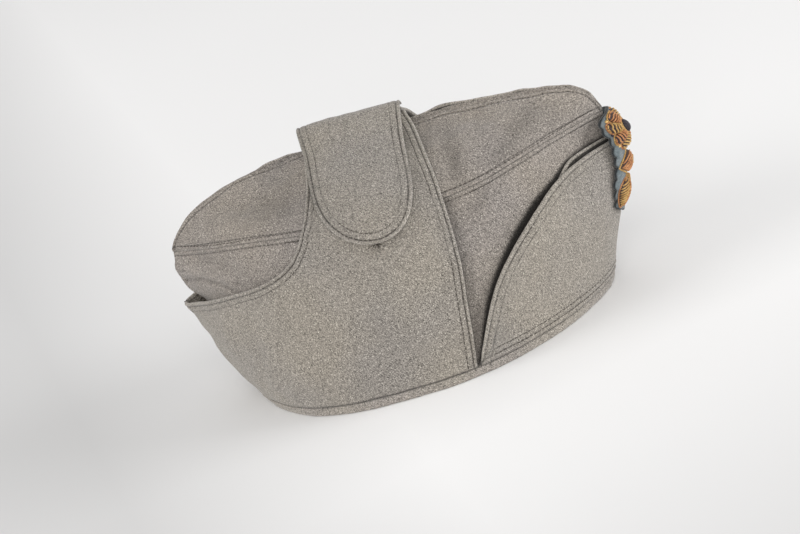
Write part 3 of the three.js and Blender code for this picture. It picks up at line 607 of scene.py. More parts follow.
def mesh_object(name, points, faces, materials):
    """A mesh of points in the cap's millimetres, at its place in the frame."""
    mesh = bpy.data.meshes.new(name)
    placed = (np.asarray(points, float) + SHIFT) / 1000
    counts = np.array([len(face) for face in faces])
    mesh.vertices.add(len(placed))
    mesh.vertices.foreach_set("co", placed.astype(np.float32).ravel())
    mesh.loops.add(int(counts.sum()))
    mesh.loops.foreach_set("vertex_index", np.concatenate(faces).astype(np.int32))
    mesh.polygons.add(len(counts))
    mesh.polygons.foreach_set("loop_start", (np.cumsum(counts) - counts).astype(np.int32))
    mesh.update(calc_edges=True)
    mesh.validate()
    mesh.shade_smooth()
    for material in materials:
        mesh.materials.append(material)
    made = linked(name, mesh)
    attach(made, "root")
    return made


def give(made, name, values):
    """Stores a number or a vector for each point, for the material."""
    values = np.asarray(values, np.float32)
    kind, field = ("FLOAT_VECTOR", "vector") if values.ndim == 2 else ("FLOAT", "value")
    made.data.attributes.new(name, kind, "POINT").data.foreach_set(field, values.ravel())


# The frame's origin is the middle of the footprint box. The hem's rear end gives the shift to it.
HEM_REAR = end_of(HEM_HEIGHT, False, HEM_OUT)[1]
SHIFT = np.array([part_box("hem_band")[0].x * 1000 + float(HEM_REAR), 0, 0])


# Threads


def tube_mesh(lines, radii, sides, outwards=None):
    """Closed tubes along many lines of equal count. lines is (n, k, 3), radii (k,) or (n, k)."""
    lines = np.asarray(lines, float)
    n, k, _ = lines.shape
    along = unit(np.gradient(lines, axis=1))
    if outwards is None:
        chord = unit(lines[:, -1] - lines[:, 0] + 1e-9)
        helper = np.where(np.abs(chord[:, 2:3]) > 0.8, [[1.0, 0, 0]], [[0, 0, 1.0]])
    else:
        helper = np.broadcast_to(np.asarray(outwards, float), (n, 3))
    side = unit(np.cross(along, helper[:, None, :]))
    over = np.cross(side, along)
    angle = 2 * math.pi * np.arange(sides) / sides
    radii = np.broadcast_to(radii, (n, k))[..., None, None]
    ring = side[:, :, None] * np.cos(angle)[:, None] + over[:, :, None] * np.sin(angle)[:, None]
    points = (lines[:, :, None] + ring * radii).reshape(-1, 3)
    base = (np.arange(n)[:, None] * k + np.arange(k - 1)[None]).reshape(-1, 1) * sides
    s = np.arange(sides)
    t = (s + 1) % sides
    quads = np.stack([base + s, base + t, base + sides + t, base + sides + s], -1).reshape(-1, 4)
    first = (np.arange(n)[:, None] * k * sides) + s[::-1]
    last = ((np.arange(n)[:, None] + 1) * k - 1) * sides + s
    return points, [*quads, *first, *last]


def surface_of(made):
    points = np.empty(len(made.data.vertices) * 3, np.float32)
    made.data.vertices.foreach_get("co", points)
    points = points.reshape(-1, 3) * 1000 - SHIFT
    faces = [tuple(p.vertices) for p in made.data.polygons]
    return BVHTree.FromPolygons([tuple(p) for p in points], faces)


STITCH = table(
    "along lift radius",
    (-0.5, -0.34, 0.35), (-0.4, -0.02, 0.85), (0, 0.1, 1), (0.4, -0.02, 0.85), (0.5, -0.34, 0.35),
)
STITCH_SHARE = 0.76


def stitches(name, cloth, made, seed):
    """Rows of separate stitches at set distances inside the edges of a piece of cloth."""
    dice = np.random.default_rng(seed)
    surface = surface_of(made)
    flip = np.array([1, -cloth.side, 1])
    lines, radii = [], []
    for path, insets in cloth.sewn:
        edge, outside = (resampled(values[path] * flip, 400) for values in (cloth.middle, cloth.normal))
        along = unit(np.gradient(edge, axis=0))
        inward = unit(np.cross(outside, along))
        ahead, behind = (surface.find_nearest(edge[200] + inward[200] * step)[3] for step in (3, -3))
        if behind < ahead:
            inward = -inward
        for inset in insets:
            row = edge + inward * inset
            run = lengths(row)
            count = int(run[-1] / PITCH)
            at = (np.arange(count) + 0.5) * run[-1] / count + dice.normal(0, 0.09, count)
            found = [surface.find_nearest(point) for point in line_at(at, run, row)]
            ground, up = (np.array([tuple(f[k]) for f in found]) for k in range(2))
            keep = np.array([f[3] < STITCH_REACH for f in found])
            across = unit(np.cross(up, unit(line_at(at, run, along))))
            way = unit(np.cross(across, up) + across * dice.normal(0, 0.05, (count, 1)))
            reach = PITCH * STITCH_SHARE * (1 + dice.normal(0, 0.04, (count, 1, 1)))
            steps = STITCH["along"][None, :, None] * reach * way[:, None]
            rise = STITCH["lift"][None, :, None] * up[:, None]
            lines.append((ground[:, None] + steps + rise)[keep])
            thin = INNER_THREAD if inset > insets[0] else 1
            radii.append(np.tile(STITCH["radius"] * THREAD_RADIUS * thin, (int(keep.sum()), 1)))
    thread = mesh_object(name, *tube_mesh(np.vstack(lines), np.vstack(radii), 5), [THREAD])
    return thread


# Materials


def srgb(*levels):
    """A colour from its 0 to 255 levels, as linear numbers."""
    parts = [level / 255 for level in levels]
    return (*(p / 12.92 if p <= 0.04045 else ((p + 0.055) / 1.055) ** 2.4 for p in parts), 1)


class Finish:
    """A material made of nodes."""

    def __init__(self, name):
        self.material = bpy.data.materials.new(name)
        self.material.use_nodes = True
        self.tree = self.material.node_tree
        self.tree.nodes.clear()
        self.shader = self.add("ShaderNodeBsdfPrincipled", {})
        self.add("ShaderNodeOutputMaterial", {0: self.shader.outputs[0]})

    def fill(self, socket, value):
        """Links a socket to a node's output, or sets it to a value."""
        if isinstance(value, bpy.types.NodeSocket):
            self.tree.links.new(value, socket)
        else:
            socket.default_value = value

    def add(self, kind, inputs, **settings):
        node = self.tree.nodes.new(kind)
        for key, value in settings.items():
            setattr(node, key, value)
        for key, value in inputs.items():
            self.fill(node.inputs[key], value)
        return node

    def finished(self, **sockets):
        """The material, with the shader's sockets filled. A socket's name has _ for each space."""
        for key, value in sockets.items():
            self.fill(self.shader.inputs[key.replace("_", " ")], value)
        return self.material

    def math(self, operation, *values):
        return self.add("ShaderNodeMath", dict(enumerate(values)), operation=operation).outputs[0]

    def times(self, first, second):
        return self.math("MULTIPLY", first, second)

    def total(self, *terms):
        """The sum of (value, weight) terms, each as (value - 0.5) * weight."""
        parts = [self.math("MULTIPLY_ADD", value, weight, -weight * 0.5) for value, weight in terms]
        return functools.reduce(lambda first, second: self.math("ADD", first, second), parts)

    def attribute(self, name, out="Fac"):
        return self.add("ShaderNodeAttribute", {}, attribute_name=name).outputs[out]

    def millimetres(self):
        place = self.add("ShaderNodeTexCoord", {}).outputs["Object"]
        return self.add("ShaderNodeVectorMath", {0: place, 1: (1000,) * 3}, operation="MULTIPLY").outputs[0]

    def noise(self, place, size, detail, roughness=0.55):
        inputs = {"Vector": place, "Scale": 1 / size, "Detail": detail, "Roughness": roughness}
        return self.add("ShaderNodeTexNoise", inputs).outputs[0]

    def mix(self, share, first, second, blend="MIX"):
        inputs = {0: share, 6: first, 7: second}
        return self.add("ShaderNodeMix", inputs, data_type="RGBA", blend_type=blend).outputs[2]

    def ramp(self, value, low, high, to_low=0.0, to_high=1.0):
        inputs = dict(enumerate((value, low, high, to_low, to_high)))
        return self.add("ShaderNodeMapRange", inputs, clamp=True).outputs[0]

    def lit(self, colour, value):
        """A colour times a number."""
        grey = self.add("ShaderNodeCombineColor", {0: value, 1: value, 2: value}).outputs[0]
        return self.mix(1.0, colour, grey, "MULTIPLY")

    def bump(self, height, distance, strength=1.0):
        inputs = {"Height": height, "Distance": distance, "Strength": strength}
        return self.add("ShaderNodeBump", inputs).outputs[0]


def twill(name, cool, warm):
    """Fine wool twill: mixed fibres, slanting ribs, faded patches, worn edges, painted shade in the needle
    holes, and each point's painted shade and stains.
    """
    made = Finish(name)
    place, weave = made.millimetres(), made.attribute("weave", "Vector")
    turned = {"Vector": weave, "Rotation": (0, 0, math.radians(RIB_SLANT))}
    slant = made.add("ShaderNodeMapping", turned).outputs[0]
    stretched = made.add("ShaderNodeMapping", {"Vector": slant, "Scale": (0.42, 1.7, 1)}).outputs[0]
    fibres = made.noise(place, 0.6, 2, 0.7)
    slubs = made.noise(stretched, 1.0, 2, 0.6)
    wave = {"Vector": slant, "Scale": 0.36, "Distortion": 1.2, "Detail": 1.0, "Detail Scale": 1.5}
    ribs = made.add("ShaderNodeTexWave", wave, bands_direction="Y").outputs[1]
    patches, clouds = made.noise(place, 13, 2, 0.6), made.noise(place, 44, 1, 0.5)
    grain = made.total((fibres, 3.8), (slubs, 1.5), (ribs, 0.08), (patches, 0.16), (clouds, 0.14))
    tone = made.mix(made.ramp(clouds, 0.36, 0.66), cool, warm)
    fleck = made.ramp(made.noise(place, 0.6, 1), 0.64, 0.78, 0, 0.45)
    tone = made.mix(fleck, tone, FLECK_GREY)
    frayed = made.times(made.attribute("wear_and_edge_shade"), made.ramp(fibres, 0.3, 0.75, 0.25, 1))
    tone = made.mix(made.times(frayed, 0.6), tone, WORN_GREY)
    beat = made.math("SINE", made.times(made.attribute("run"), 2 * math.pi / PITCH))
    # Painted shade in the needle holes along each stitch row, dashed at the stitch pitch.
    hole = made.ramp(made.attribute("row"), 0.12, 0.62, 1, 0)
    hole = made.times(hole, made.ramp(beat, -0.2, 0.9, 0.5, 1))
    # The cloth is darkened by the holes' painted shade and by each point's painted shade and stains.
    dark = made.math("MAXIMUM", made.times(hole, 0.7), made.attribute("shade"))
    light = made.math("MAXIMUM", made.math("ADD", grain, 1.0), 0.15)
    light = made.times(light, made.math("SUBTRACT", 1.0, dark))
    height = made.total((fibres, 1.0), (slubs, 0.7), (ribs, 0.5))
    height = made.math("SUBTRACT", height, made.times(hole, 1.4))
    return made.finished(
        Base_Color=made.lit(tone, light), Normal=made.bump(height, 0.00022, 0.8),
        Roughness=0.93, Sheen_Weight=0.22, Sheen_Roughness=0.45, Specular_IOR_Level=0.18,
    )


def speckled(name, size, detail, edges, colours, relief, **sockets):
    """Thread or enamel in two tones, with fine specks."""
    made = Finish(name)
    speck = made.noise(made.millimetres(), size, detail)
    tone = made.mix(made.ramp(speck, *edges), *colours)
    return made.finished(Base_Color=tone, Normal=made.bump(speck, relief), **sockets)


def felt(name):
    """Blue-grey felt with a fuzzy, slightly faded surface, and a darker cut edge painted near black as painted
    shadow under it.
    """
    made = Finish(name)
    place = made.millimetres()
    fuzz, patches = made.noise(place, 0.5, 3, 0.7), made.noise(place, 5, 2)
    tone = made.mix(made.ramp(patches, 0.35, 0.7), srgb(93, 105, 109), srgb(114, 121, 123))
    light = made.math("ADD", made.total((fuzz, 2.2)), 1.0)
    # Painted shadow: near black along the cut edge, where the felt stands off the cap.
    light = made.times(light, made.ramp(made.attribute("wear_and_edge_shade"), 0, 0.8, 1, 0.12))
    return made.finished(
        Base_Color=made.lit(tone, light), Normal=made.bump(fuzz, 0.0004),
        Roughness=0.97, Sheen_Weight=0.35, Sheen_Roughness=0.5, Specular_IOR_Level=0.12,
    )


def bullion(name, bright, dull, tarnish):
    """Coiled metal wire, dulled in places, with painted shade between the coil's turns and painted highlight on
    them.
    """
    made = Finish(name)
    place = made.millimetres()
    turn = made.math("SINE", made.times(made.attribute("coil"), 2 * math.pi / WIRE["coil"]))
    age, speck = made.noise(place, 2.6, 3, 0.6), made.noise(place, 0.7, 2, 0.6)
    tone = made.mix(made.ramp(age, 0.38, 0.66), bright, dull)
    tone = made.mix(made.ramp(speck, 0.56, 0.72, 0, 0.75), tone, tarnish)
    # Painted shade in the grooves between the coil's turns, and painted highlight on their crests.
    tone = made.lit(tone, made.ramp(turn, -1, 0.6, 0.52, 1.08))
    relief = made.bump(made.times(turn, 0.5), 0.00022, 0.9)
    rough = made.ramp(age, 0.3, 0.7, 0.34, 0.55)
    return made.finished(Base_Color=tone, Normal=relief, Roughness=rough, Metallic=0.35)


FLECK_GREY = srgb(186, 182, 172)
WORN_GREY = srgb(172, 166, 157)
# Painted shade on the floor: x and y give a direction across it, from and to the span over which it darkens,
# and low how dark it gets.
FLOOR_FADES = table(
    "x y from to low",
    (1, 0.35, -215, -60, 0.72), (-0.5, 1, -440, -160, 0.78),
)


def pale_floor(name):
    """Pale paper with painted shade, that grows a little darker behind the cap and in front of it."""
    made = Finish(name)
    place = made.millimetres()
    tone = made.mix(made.noise(place, 300, 1), (0.87, 0.866, 0.864, 1), (0.89, 0.886, 0.884, 1))
    across, away, _ = made.add("ShaderNodeSeparateXYZ", {0: place}).outputs
    fade = 1.0
    for x, y, start, end, low in zip(*FLOOR_FADES.values()):
        along = made.math("ADD", made.times(across, x), made.times(away, y))
        fade = made.times(fade, made.ramp(along, start, end, low, 1))
    return made.finished(Base_Color=made.lit(tone, fade), Roughness=0.85, Specular_IOR_Level=0.2)


CROWN_TWILL = twill("crown_twill", srgb(133, 127, 122), srgb(135, 128, 120))
FLAP_TWILL = twill("flap_twill", srgb(133, 128, 122), srgb(136, 130, 121))
HEM_TWILL = twill("hem_twill", srgb(140, 134, 128), srgb(141, 135, 126))
THREAD = speckled(
    "sewing_thread", 0.35, 1, (0.35, 0.65), (srgb(70, 62, 55), srgb(46, 40, 36)), 0.00008,
    Roughness=0.8, Specular_IOR_Level=0.25,
)
FELT = felt("badge_felt")
GOLD = bullion("gold_wire", srgb(244, 205, 134), srgb(206, 158, 92), srgb(96, 68, 44))
COPPER = bullion("copper_wire", srgb(236, 172, 118), srgb(190, 128, 84), srgb(84, 54, 42))
SATIN = {"Roughness": 0.5, "Sheen_Weight": 0.3, "Sheen_Roughness": 0.4}
PLUM = speckled("plum_thread", 0.6, 2, (0.4, 0.7), (srgb(27, 19, 27), srgb(52, 41, 53)), 0.0001, **SATIN)
PAD = speckled("pad_thread", 0.6, 2, (0.4, 0.7), (srgb(48, 33, 32), srgb(72, 50, 42)), 0.0001, **SATIN)
STUD_METAL = speckled(
    "stud_enamel", 0.8, 2, (0.45, 0.7), (srgb(60, 60, 58), srgb(92, 90, 86)), 0.00005,
    Roughness=0.45, Metallic=0.5,
)


# The pieces of cloth


def around_line(cells):
    """Places round one side of the crown, closer at both ends."""
    return -1 + 2 * graded(SIDE_LENGTH, cells, NEAR_FOLD, NEAR_FOLD) / SIDE_LENGTH


def crown_panel(shape, side):
    """The cloth of a crown panel, from the shape of its skins, with the dents of its side."""
    outer, inner = (sagged(dented(right_of_seam(shape(out)), side)) for out in (0.0, -CROWN_THICK))
    cloth = Cloth(outer, inner, side=side)
    # Painted shade in the dents, darker where a dent is deeper.
    cloth.shade = DARK["dent"] * dent_depth(cloth.middle, side)
    return cloth


def crown_side(side):
    """A side panel of the crown, from the hem to the long seam."""
    around = around_line(196)[None, :]
    height = SEAM_HEIGHT - SEAM_GAP / 2 - HEM_HEIGHT - GAP
    z = HEM_HEIGHT + GAP + graded(height, 56, NEAR_FOLD, NEAR_EDGE)[:, None]
    cloth = crown_panel(lambda out: tucked(wall(around, z, out)), side)
    behind_edges(cloth, np.broadcast_to(around, (len(z), around.size)).ravel())
    fold_above_curtain(cloth)
    waves = ripple(cloth.middle, 34, 0.5, 11 + side) + ripple(cloth.middle, 13, 0.16, 21 + side)
    cloth.lift(waves * off_seam(cloth))
    seam_edge(cloth, cloth.path(np.s_[-1, :]), SEAM_ROWS["below"])
    for end in (0, -1):
        cloth.finish_edge(cloth.path(np.s_[:, end]), (), wear_and_edge_shade=0.4, lip=0.5)
    return cloth


def off_seam(cloth):
    """0 along the long seam, so that both panels meet there, and 1 away from it."""
    return ease(0, 14, np.abs(cloth.middle[:, 2] - seam_height(cloth.middle[:, 0])))


def seam_edge(cloth, path, row):
    """The long seam: a narrow line between two rolls of cloth, each with a row of stitches."""
    fade = ease(1, 9, -cloth.middle[:, 1])
    cloth.finish_edge(path, (row,), wear_and_edge_shade=0.35, step=0.1, roll=0.4, groove=0.3, lip=0.5, fade=fade)


def behind_edges(cloth, around):
    """Painted shade on the cloth behind the visor's edge and beside the tongue, where little light gets in."""
    x, _, z = cloth.middle.T
    fine = np.linspace(VISOR_CORNER, 1, 400)
    edge_z = smooth(VISOR_EDGE, "z", fine)
    level = np.gradient(edge_z) / np.gradient(lengths(wall(fine, edge_z, 0.0)))
    upright = np.sqrt(1 - np.minimum(0.98, level**2))
    above = (z - np.interp(around, fine, edge_z)) * np.interp(around, fine, upright)
    above = above - (PLY_RISE + 0.5) * ease(*PLY_SHOWS, around)
    cloth.darken(DARK["behind_visor"] * (1 - ease(-1.4, 1.2, above)) * (around > VISOR_CORNER))
    beside = x - smooth(FLAP_FRONT, "right" if cloth.side < 0 else "left", z)
    cloth.darken(DARK["beside_tongue"] * (1 - ease(0, 8, beside)) * (beside > -30))


CREASE = table("x z", (-122, 72.5), (-119.3, 73.5), (-108.8, 75.1), (-98.3, 73.7), (-89.5, 70), (-84, 66.5))


def fold_above_curtain(cloth):
    """The crown bags out over the curtain's edge near the back, and turns in under a crease, with painted shade
    along the crease.
    """
    x, _, z = cloth.middle.T
    above = z - smooth(CREASE, "z", x)
    reach = ease(84, 94, -x)
    bag = 1.4 * hump(above - 7, 6)
    crease = -1.1 * hump(above, 1.3)
    under = -0.9 * (1 - ease(-5, 0.5, above)) * ease(45, 62, z) + 1.0 * hump(above + 4.2, 2.4)
    cloth.lift((bag + crease + under) * reach, 0.8)
    # Painted shade along the crease.
    cloth.darken(DARK["under_crease"] * hump(above + 0.4, 1.1) * reach)


def crown_top(side):
    """A top panel of the crown, from the seam to its ridge."""
    around = around_line(186)
    chord = np.linalg.norm(ridge(around, 0.0) - wall(around, SEAM_HEIGHT, 0.0), axis=1)
    rise = (graded(chord, 40) / chord[:, None]).T
    cloth = crown_panel(lambda out: top(around[None, :], rise, out), side)
    soft = ease(3, 16, -cloth.middle[:, 1])
    waves = ripple(cloth.middle, 30, 0.75, 31 + side) * soft + ripple(cloth.middle, 11, 0.2, 41 + side)
    cloth.lift(waves * off_seam(cloth))
    near_ridge = ease(0.5, 1, rise).ravel()
    bump = ripple(cloth.middle * [1, 0, 0], 26, 0.5, 45 + side)
    cloth.lift(near_ridge * (bump + side * 0.35 * hump(cloth.middle[:, 0] - 46, 15)))
    seam_edge(cloth, cloth.path(np.s_[0, :]), SEAM_ROWS["above"])
    cloth.finish_edge(cloth.path(np.s_[-1, :]), (RIDGE_ROW,), step=0.2)
    return cloth


def crown_gusset():
    """The strip between the ridges, folded down into the crown along its middle."""
    around = np.linspace(-0.95, 0.955, 210)[None, :]
    across = np.linspace(-1, 1, 19)[:, None]
    line = ridge(around, 0.0)
    half = -line[..., 1] - GUSSET_CLEAR
    depth = np.minimum(GUSSET_DEPTH, half) * (1 - np.abs(across) ** 1.4) + 0.3

    def skin(drop):
        x, y = np.broadcast_arrays(line[..., 0], across * half)
        return sagged(np.stack([x, y, line[..., 2] - depth - drop], -1))

    cloth = Cloth(skin(0.0), skin(GUSSET_THICK))
    cloth.lip[:] = 0.5
    cloth.lift(ripple(cloth.middle, 9, 0.22, 51))
    return cloth


def ear_flap(side):
    """A turned-up ear flap: the curtain round the back, and the tongue that rises over the crown."""
    bottom = HEM_HEIGHT + GAP
    share = (1 - graded(100.0, 66, NEAR_FOLD, np.array([0, 1.4])) / 100.0)[:-1]
    levels = CURTAIN_LEVEL + np.linspace(-8, 8, 3)[:, None]
    edge_line = curtain(np.linspace(0, 1, 200), np.repeat(levels, 200, 1))[1]
    high = smooth(CURTAIN_EDGE, "z", to_back_of(edge_line, share)) - bottom
    z_curtain = bottom + graded(high, 44, NEAR_FOLD, NEAR_EDGE).T
    z_low = bottom + graded(TONGUE_FOOT_Z - bottom, 44, NEAR_FOLD, NEAR_EDGE)
    z_high = TONGUE_FOOT_Z + graded(TONGUE_TOP - TONGUE_FOOT_Z, 34, np.array([0, 1.2]), NEAR_EDGE)[1:]
    z = np.concatenate([z_low, z_high])
    back = smooth(TONGUE_BACK, "x", z)
    front = smooth(FLAP_FRONT, "right" if side < 0 else "left", z)
    x = back[:, None] + graded(front - back, 50)

    low = curtain(share, z_curtain)
    tongue = flap(*np.broadcast_arrays(x, z[:, None]))
    middle = np.hstack([np.vstack([low, np.repeat(low[-1:], len(z_high), 0)]), tongue])
    foot, columns = len(z_low) - 1, len(share)
    holds = np.ones((len(z) - 1, middle.shape[1] - 1), bool)
    holds[foot:, :columns] = False
    cloth = Cloth(middle, middle, holds, side)
    cloth.thicken(FLAP_THICK)
    free = ease(6, 30, cloth.middle[:, 2])
    cloth.lift(ripple(cloth.middle, 46, 0.55, 61 + side) * free + ripple(cloth.middle, 15, 0.16, 71 + side))
    crease_of_rear(cloth)
    cloth.finish_edge(cloth.path(np.s_[foot, : columns + 1], np.s_[foot + 1 :, columns]), EDGE_ROWS)
    cloth.finish_edge(cloth.path(np.s_[:, -1]), EDGE_ROWS)
    return cloth


def to_back_of(edge_line, share):
    """How far to the back, as the curtain's table counts it, each share of its level line lies."""
    run = lengths(edge_line)
    x = np.interp(share * run[-1], run, edge_line[:, 0])
    power = end_of(CURTAIN_LEVEL, False, 0.0)[3]
    to_back = np.clip((x - TONGUE_FOOT_X) / (edge_line[-1, 0] - TONGUE_FOOT_X), 0, 1)
    return 1 - (1 - to_back) ** (1 / max(power, 1))


def crease_of_rear(cloth):
    """Soft upright creases where the curtain bends round the back of the head."""
    x, _, z = cloth.middle.T
    for at, lean, half, depth in ((-88, 0.22, 3.0, 0.7), (-74, 0.42, 3.4, 0.5), (-99, 0.1, 3.0, 0.5)):
        line = x - at - lean * (z - 30)
        cloth.lift(-depth * hump(line, half) * ease(6, 14, z) * (1 - ease(34, 56, z)), 0.6)


def closing_tab():
    """The round-ended tab over the top."""
    aside = graded(2 * TAB_HALF, 44) / TAB_HALF - 1
    end = tab_share_at(TAB_ROUND_Z - TAB_HALF * np.sqrt(np.maximum(0, 1 - aside**2)))
    share = (end[:, None] - graded(end * TAB_LENGTH, 112, NEAR_EDGE, NEAR_FOLD) / TAB_LENGTH).T
    x, rise = tab_place(np.broadcast_to(aside, share.shape), share)
    cloth = Cloth(*(tab(x, share, skin) + rise[..., None] * [0, 0, 1] for skin in (1, -1)))
    cloth.normal = unit(cloth.outer - cloth.inner)
    cloth.lift(ripple(cloth.middle, 30, 0.3, 81) + ripple(cloth.middle, 9, 0.08, 82))
    cloth.finish_edge(cloth.path(np.s_[-1:0:-1, 0], np.s_[0, :], np.s_[1:, -1]), TAB_ROWS, step=0.25)
    return cloth


def visor(middle_out, lean, thick, rise, cells, rows, flare=0.0):
    """A turned-up ply of the visor. rise is how far it stands above the visor's edge, all along."""
    bottom = HEM_HEIGHT + GAP
    fine = np.linspace(VISOR_CORNER, 1.0, 700)
    edge_z = np.maximum(smooth(VISOR_EDGE, "z", fine) + rise(fine), bottom + PLY_LEAST)
    run = lengths(wall(fine, edge_z, middle_out))
    share = graded(run[-1], cells, NEAR_FOLD, np.array([0, 1.0])) / run[-1]
    edge_around = np.interp(share, run / run[-1], fine)
    top_z = np.interp(edge_around, fine, edge_z)
    foot_around = VISOR_CORNER + (1.0 - VISOR_CORNER) * share
    up = (graded(top_z - bottom, rows) / (top_z - bottom)[:, None]).T
    around = foot_around + (edge_around - foot_around) * up
    z = bottom + (top_z - bottom) * up
    flared = middle_out + flare * up**2 * (1 - ease(*VISOR_FLARE_ENDS, around))

    def skin(face):
        right = wall(around, z, flared + lean * z / SEAM_HEIGHT + face * thick / 2)
        return np.hstack([right, right[:, -2::-1] * [1, -1, 1]])

    return Cloth(skin(1), skin(-1))


def visor_flap():
    cloth = visor(VISOR_OUT, VISOR_LEAN, FLAP_THICK, np.zeros_like, 96, 52, VISOR_FLARE)
    away = ease(8, 40, cloth.middle[:, 2])
    cloth.lift(ripple(cloth.middle, 42, 0.4, 91) * away + ripple(cloth.middle, 14, 0.12, 92))
    cloth.finish_edge(cloth.path(np.s_[-1, :]), VISOR_ROWS)
    cloth.finish_edge(cloth.path(np.s_[0, :]), VISOR_HEM_ROWS, wear_and_edge_shade=0.2, step=0.25)
    return cloth


def visor_ply():
    def rise(around):
        return -PLY_DROP + (PLY_RISE + PLY_DROP) * ease(*PLY_SHOWS, around)

    cloth = visor(PLY_OUT, PLY_LEAN, PLY_THICK, rise, 80, 24)
    top_edge = cloth.path(np.s_[-1, :])
    cloth.finish_edge(top_edge, lip=0.5)
    # Painted shade on the ply below its top edge, in the gap between the visor and the crown.
    cloth.shade = DARK["inner_ply"] * ease(1.0, 1.7, cloth.distance(top_edge)[0])
    return cloth


def hem_band():
    """The hem: a stitched roll of all the layers round the rim."""
    around = np.linspace(-1, 1, 233)
    angle = np.linspace(0, 2 * math.pi, 28, endpoint=False)
    across, up = (np.sign(f) * np.abs(f) ** HEM_SQUARE for f in (np.cos(angle), np.sin(angle)))
    outs = (HEM_OUT - CROWN_THICK) / 2 + across * (HEM_OUT + CROWN_THICK) / 2
    highs = HEM_HEIGHT / 2 + up * HEM_HEIGHT / 2
    rings = np.stack([wall(around, z, out) for out, z in zip(outs, highs)], 1)
    rings = np.vstack([rings, rings[-2:0:-1] * [1, -1, 1]])
    n, k = rings.shape[:2]
    here = np.arange(n * k).reshape(n, k)
    after = np.roll(here, -1, 0)
    faces = np.stack([here, after, np.roll(after, -1, 1), np.roll(here, -1, 1)], -1).reshape(-1, 4)
    points = rings.reshape(-1, 3)
    facing = np.tile(np.cos(angle), n)
    bulge = ripple(points, 16, 0.16, 101) + ripple(points, 6, 0.07, 102)
    points = points + unit(points * [1, 1, 0]) * (bulge * ease(0, 0.6, facing))[:, None]
    made = mesh_object("hem_band_cloth", points, faces, [HEM_TWILL])
    run = np.repeat(lengths(np.vstack([rings[:, 0], rings[:1, 0]]))[:-1], k)
    give(made, "weave", np.stack([run, points[:, 2] + np.tile(outs, n), run * 0], 1))
    give(made, "wear_and_edge_shade", 0.9 * np.maximum(0, -np.sin(np.tile(angle, n))) * ease(0, 0.5, facing))
    give(made, "shade", np.zeros(n * k))
    give(made, "row", np.full(n * k, FAR))
    give(made, "run", run)
    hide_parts("hem_band")


SPOTS = table(
    "x z radius dark",
    (-87.2, 74.8, 1.5, 0.36), (-49.3, 121.4, 1.6, 0.4), (-3.7, 83.3, 1.1, 0.6),
)


def spotted(cloth):
    """A few small dark marks."""
    for x, z, radius, dark in zip(*SPOTS.values()):
        far = np.hypot(cloth.outer[:, 0] - x, cloth.outer[:, 2] - z)
        cloth.darken(dark * hump(far, radius) * (cloth.side < 0))


def loose_threads():
    """A few loose ends of thread under the tab's round end."""
    dice = np.random.default_rng(301)
    foot = np.array([-3.7, -66.9, 84.2])
    lines = []
    for _ in range(7):
        tip = foot + dice.normal(0, 1, 3) * [1.9, 0.3, 0.9] + [0, -0.9, -1.3]
        bend = (foot + tip) / 2 + dice.normal(0, 0.5, 3) * [1, 0.2, 1]
        lines.append(chordal_curve(np.array([foot, bend, tip]), 8))
    points, faces = tube_mesh(np.array(lines), np.full(8, 0.15), 5)
    mesh_object("loose_threads", points, faces, [THREAD])


def add_cloth(node, cloth, material, slot, held, cut, rests_on, seed=0):
    spotted(cloth)
    # Painted shade along the foot of each piece, just above the hem.
    cloth.darken(DARK["at_hem"] * (1 - ease(0.3, 1.5, cloth.middle[:, 2] - HEM_HEIGHT)))
    made = cloth.build(f"{node}_cloth", material)
    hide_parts(node)
    on_it = [stitches(f"{node}_stitches", cloth, made, seed)] if cloth.sewn else []


# The material and a name for the crown's and the flaps' cloth, and the hem that pieces rest on
CROWN = (CROWN_TWILL, "crown_cloth")
FLAPS = (FLAP_TWILL, "flap_cloth")
ON_HEM = ["hem_band_cloth"]

hem_band()
for side, hand in ((-1, "right"), (1, "left")):
    below = f"crown_side_{hand}"
    add_cloth(below, crown_side(side), *CROWN, "stretched", "crown_side", ON_HEM, 200 + side)
    add_cloth(
        f"crown_top_{hand}", crown_top(side), *CROWN, "stretched", "crown_top", [f"{below}_cloth"], 210 + side
    )
    add_cloth(f"ear_flap_{hand}", ear_flap(side), *FLAPS, "folded", "ear_flap", ON_HEM, 220 + side)
add_cloth("crown_gusset", crown_gusset(), *CROWN, "folded", "crown_gusset", ["crown_top_right_cloth"])
TONGUES = ["ear_flap_right_cloth", "ear_flap_left_cloth"]
add_cloth("closing_tab", closing_tab(), *FLAPS, "folded", "closing_tab", TONGUES, 230)
loose_threads()
add_cloth("visor_flap", visor_flap(), *FLAPS, "folded", "visor_flap", ON_HEM, 240)
add_cloth("visor_inner_ply", visor_ply(), *FLAPS, "folded", "visor_ply", ["visor_flap_cloth"])


# The badge: padded motifs of laid wire on scalloped felt. A place on it is (a, z): across and up.


def bow_reach(z):
    """How far forward the badge's back lies at the bow."""
    on_visor = VISOR_OUT + VISOR_LEAN * z / SEAM_HEIGHT + FLAP_THICK / 2
    leaves = ease(VISOR_EDGE["z"][-1] + 1, BADGE["top"] - BADGE["top_end"], z)
    out = on_visor + (BADGE["clear"] - on_visor) * leaves
    return smooth(LEVELS, "front", z) + at_end(out, z) + BADGE_GAP


def badge_point(a, z, high):
    """A point of the badge: a across it, z up it, and high above its back."""
    a, z, high = np.broadcast_arrays(a, z, high)
    radius = BADGE_WRAP["radius"]
    bend = np.minimum(np.abs(a) / radius, BADGE_WRAP["turn"])
    straight = np.abs(a) - bend * radius
    back = radius * (1 - np.cos(bend)) + straight * np.sin(bend)
    side = radius * np.sin(bend) + straight * np.cos(bend)
    x = bow_reach(z) - back + high * np.cos(bend)
    return np.stack([x, np.sign(a) * (side + high * np.sin(bend)), z], -1)


